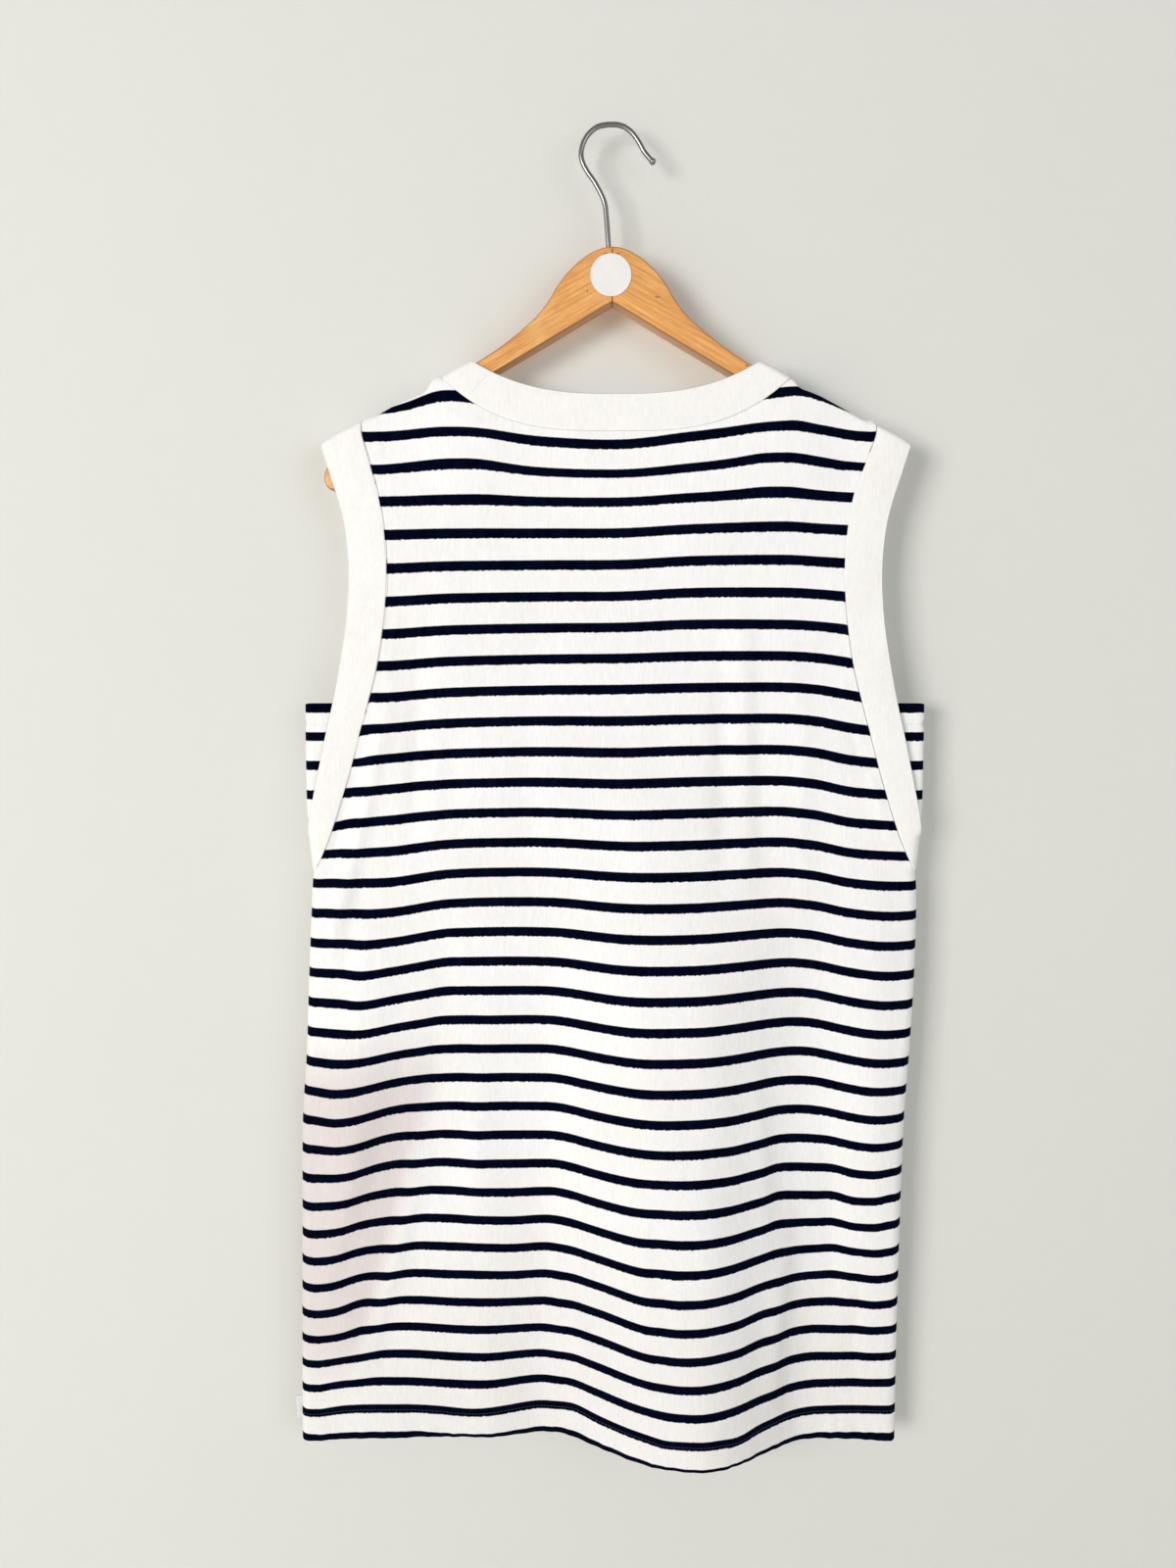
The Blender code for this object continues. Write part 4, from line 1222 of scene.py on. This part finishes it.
def dark_marks(tree, place):
    """Small knots, chips and nail marks, 1 where the wood is darkest."""
    axes = add_node(tree, "ShaderNodeSeparateXYZ", {0: place})
    total = None
    for x, z, wide, tall in WOOD_MARKS:
        squares = []
        for axis, middle, reach in (("X", x, wide), ("Z", z, tall)):
            away = maths(tree, "SUBTRACT", axes.outputs[axis], middle * MM)
            away = maths(tree, "MULTIPLY", away, 1.0 / (reach * MM))
            squares.append(maths(tree, "POWER", away, 2.0))
        off = maths(tree, "ADD", *squares)
        mark = remap(tree, off, 1.0, 0.3)
        total = mark if total is None else maths(tree, "MAXIMUM", total, mark)
    return total


def beech():
    """Lacquered wood with its grain along each arm, a dark glued joint, and painted shade on the rounded
    edges, top and underside.
    """
    material, tree, shader = start_material("beech", 0.4, Coat_Weight=0.3, Coat_Roughness=0.22)
    grain = add_node(tree, "ShaderNodeUVMap", uv_map="grain").outputs["UV"]
    place = coordinates(tree, "Object")
    drift = noise(tree, stretched(tree, grain, (5.0, 34.0, 1.0)), 2.2, 3.0, 0.6)
    years = noise(tree, stretched(tree, grain, (9.0, 260.0, 1.0)), 2.0, 4.0, 0.66)
    pores = noise(tree, stretched(tree, grain, (60.0, 1600.0, 1.0)), 1.0, 2.0, 0.7)
    flecks = noise(tree, stretched(tree, grain, (240.0, 900.0, 1.0)), 1.0, 1.0, 0.5)
    blotches = noise(tree, place, 26.0, 3.0, 0.6)
    honey = blend(tree, remap(tree, years, 0.32, 0.66), (0.62, 0.25, 0.056), (0.92, 0.475, 0.152))
    for pattern, low, high, most, colour in (
        (drift, 0.42, 0.68, 0.55, (0.62, 0.255, 0.058)),
        (blotches, 0.5, 0.75, 0.4, (0.95, 0.57, 0.23)),
        (pores, 0.56, 0.72, 0.6, (0.36, 0.14, 0.034)),
        (flecks, 0.66, 0.78, 0.4, (0.42, 0.18, 0.05)),
    ):
        honey = blend(tree, remap(tree, pattern, low, high, 0.0, most), honey, colour)
    # Painted shade: faces that turn away from front and back are darkened towards dark brown, the rounded
    # edges most
    facing = add_node(tree, "ShaderNodeSeparateXYZ", {0: coordinates(tree, "Normal")})
    turned = maths(tree, "ABSOLUTE", facing.outputs["Y"])
    edge_shade, underside_shade = remap(tree, turned, 0.97, 0.72), remap(tree, turned, 0.06, 0.34, 0.6, 0.9)
    honey = blend(tree, maths(tree, "MULTIPLY", edge_shade, underside_shade), honey, (0.34, 0.13, 0.03))
    aside = maths(tree, "ABSOLUTE", add_node(tree, "ShaderNodeSeparateXYZ", {0: place}).outputs["X"])
    glued = remap(tree, aside, 0.0009, 0.0003, 0.0, 0.8)
    marked = maths(tree, "MULTIPLY", dark_marks(tree, place), 0.65)
    honey = blend(tree, maths(tree, "MAXIMUM", glued, marked), honey, (0.16, 0.06, 0.02))
    set_input(tree, shader, "Base Color", honey)
    set_input(tree, shader, "Roughness", remap(tree, years, 0.3, 0.7, 0.32, 0.46))
    height = maths(tree, "SUBTRACT", maths(tree, "MULTIPLY", years, 0.3), pores)
    add_bump(tree, shader, height, 0.3, 0.0002)
    return material


def steel():
    material, tree, shader = start_material("bright steel wire", 0.24, Metallic=1.0)
    place = coordinates(tree, "Object")
    cloudy = noise(tree, place, 160.0, 3.0, 0.6)
    drawn = noise(tree, place, 1500.0, 2.0, 0.6)
    grey = blend(tree, cloudy, (0.28, 0.268, 0.255), (0.31, 0.298, 0.285))
    set_input(tree, shader, "Base Color", grey)
    set_input(tree, shader, "Roughness", remap(tree, cloudy, 0.3, 0.7, 0.27, 0.30))
    add_bump(tree, shader, drawn, 0.02, 0.00001)
    return material


def sticker_paper():
    material, tree, shader = start_material("sticker paper", 0.55, Coat_Weight=0.1)
    place = coordinates(tree, "Object")
    fibres = noise(tree, place, 700.0, 3.0, 0.6)
    cloudy = noise(tree, place, 60.0, 2.0, 0.5)
    paper = blend(tree, remap(tree, cloudy, 0.3, 0.7), (0.86, 0.83, 0.81), (0.80, 0.77, 0.75))
    set_input(tree, shader, "Base Color", paper)
    set_input(tree, shader, "Roughness", remap(tree, fibres, 0.3, 0.7, 0.48, 0.62))
    add_bump(tree, shader, fibres, 0.15, 0.0001)
    return material


def ribbon():
    material, tree, shader = start_material("blank ribbon", 0.5, Sheen_Weight=0.15, Transmission_Weight=0.12)
    place = coordinates(tree, "Object")
    weave = noise(tree, stretched(tree, place, (1.0, 1.0, 0.3)), 1800.0, 2.0)
    set_input(tree, shader, "Base Color", blend(tree, weave, (0.86, 0.85, 0.84), (0.76, 0.75, 0.75)))
    add_bump(tree, shader, weave, 0.4, 0.0001)
    return material


def pale_wall():
    """Painted wall, seen from the room only, so that views from behind pass through it."""
    material, tree, shader = start_material("pale paint", 0.9, Specular_IOR_Level=0.2)
    place = coordinates(tree, "Object")
    cloudy = noise(tree, place, 1.6, 3.0, 0.5)
    roller = noise(tree, place, 420.0, 3.0, 0.6)
    paint = blend(tree, cloudy, (0.690, 0.689, 0.648), (0.722, 0.720, 0.680))
    set_input(tree, shader, "Base Color", paint)
    add_bump(tree, shader, roller, 0.3, 0.0003)
    clear = add_node(tree, "ShaderNodeBsdfTransparent")
    facing = add_node(tree, "ShaderNodeNewGeometry").outputs["Backfacing"]
    one_sided = add_node(tree, "ShaderNodeMixShader", {0: facing, 1: shader.outputs[0], 2: clear.outputs[0]})
    tree.links.new(one_sided.outputs[0], tree.nodes["Material Output"].inputs["Surface"])
    return material


# Room, light and camera

# In metres and degrees
WALL_BEHIND = 0.024
WALL_TOP = 2.0
ROOM_HALF = 3.0
FLOOR_HEIGHT = -1.36
FLOOR_NEAR = -4.0
FLOOR_FAR = 3.0
SKY = (0.97, 0.98, 1.0, 1.0)
SKY_STRENGTH = 0.345
LIGHTS = (
    # name, place, what it points at, size, watts, colour
    ("window", (-2.5, -3.2, -0.05), (0.0, 0.0, -0.5), (1.6, 1.6), 102.0, (1.0, 0.975, 0.955)),
    ("room", (2.2, -3.2, 0.1), (0.0, 0.0, -0.6), (2.4, 2.0), 33.0, (0.95, 0.98, 1.0)),
    ("behind", (-1.2, 3.2, 0.5), (0.0, 0.0, -0.5), (2.4, 2.4), 60.0, (1.0, 0.985, 0.96)),
)
CAMERA_PLACE = (-0.0184, -0.940, -0.3774)
CAMERA_PITCH = -7.3
CAMERA_LENS = 27.0
FILM_WIDE = 27.0
FILM_TALL = 36.0


def make_room():
    """Wall and floor. The wall lets the light behind it through, for the views from the front."""
    paint = pale_wall()
    low, high = (WALL_BEHIND, FLOOR_HEIGHT), (WALL_BEHIND, WALL_TOP)
    near, far = (FLOOR_NEAR, FLOOR_HEIGHT), (FLOOR_FAR, FLOOR_HEIGHT)
    for name, first, second in (("wall", low, high), ("floor", near, far)):
        corners = [(-ROOM_HALF, *first), (ROOM_HALF, *first), (ROOM_HALF, *second), (-ROOM_HALF, *second)]
        mesh = bpy.data.meshes.new(name)
        mesh.from_pydata(corners, [], [(0, 1, 2, 3)])
        mesh.materials.append(paint)
        obj = link_object(name, mesh)
        obj.visible_shadow = name != "wall"


def add_area_light(name, place, target, size, energy, colour):
    light = bpy.data.lights.new(name, "AREA")
    light.shape = "RECTANGLE"
    light.size, light.size_y = size
    light.energy = energy
    light.color = colour
    obj = link_object(name, light)
    obj.location = place
    direction = np.array(target) - np.array(place)
    flat = math.hypot(direction[0], direction[1])
    turn = math.atan2(direction[1], direction[0]) - 0.5 * math.pi
    obj.rotation_euler = (math.atan2(flat, -direction[2]), 0.0, turn)


def make_light():
    scene = bpy.context.scene
    scene.view_settings.view_transform = "Standard"
    scene.view_settings.look = "None"
    world = bpy.data.worlds.new("soft room")
    world.use_nodes = True
    sky = world.node_tree.nodes["Background"]
    sky.inputs["Color"].default_value = SKY
    sky.inputs["Strength"].default_value = SKY_STRENGTH
    scene.world = world
    for light in LIGHTS:
        add_area_light(*light)


def make_camera():
    camera = bpy.data.cameras.new("camera")
    camera.lens = CAMERA_LENS
    camera.sensor_fit = "VERTICAL"
    camera.sensor_height = FILM_TALL
    camera.sensor_width = FILM_WIDE
    obj = link_object("camera", camera)
    obj.location = CAMERA_PLACE
    obj.rotation_euler = (math.radians(90.0 + CAMERA_PITCH), 0.0, 0.0)
    bpy.context.scene.camera = obj


def main():
    make_room()
    make_light()
    make_camera()
    jersey, band = striped_jersey(), band_jersey()
    navy_thread = thread_material("navy thread", NAVY_FADED, (0.03, 0.045, 0.10))
    white_thread = thread_material("white thread", (0.82, 0.81, 0.79), (0.70, 0.68, 0.66))
    make_yoke(beech())
    make_hook(steel())
    paper = sticker_paper()
    for slot in bpy.data.objects["hanger_sticker"].material_slots:
        slot.material = paper
    for word, side, neck, flat, area in (
        ("back", -1, BACK_NECK, (0.512, 0.872), 0.392),
        ("front", 1, FRONT_NECK, (0.512, 0.872), 0.380),
    ):
        grid, normal, number = make_panel(
            "dress_" + word + "_panel", "dress_" + word, side, neck, jersey
        )
        make_hem_stitches(word, grid, normal, number, navy_thread)
    make_neckband(band)
    for hand, word in ((-1, "left"), (1, "right")):
        make_armhole_band(hand, word, band)
        grid, normal = make_inner_panel(hand, word, jersey)
        make_inner_stitches(word, grid, normal, white_thread)
    make_label(ribbon())


main()
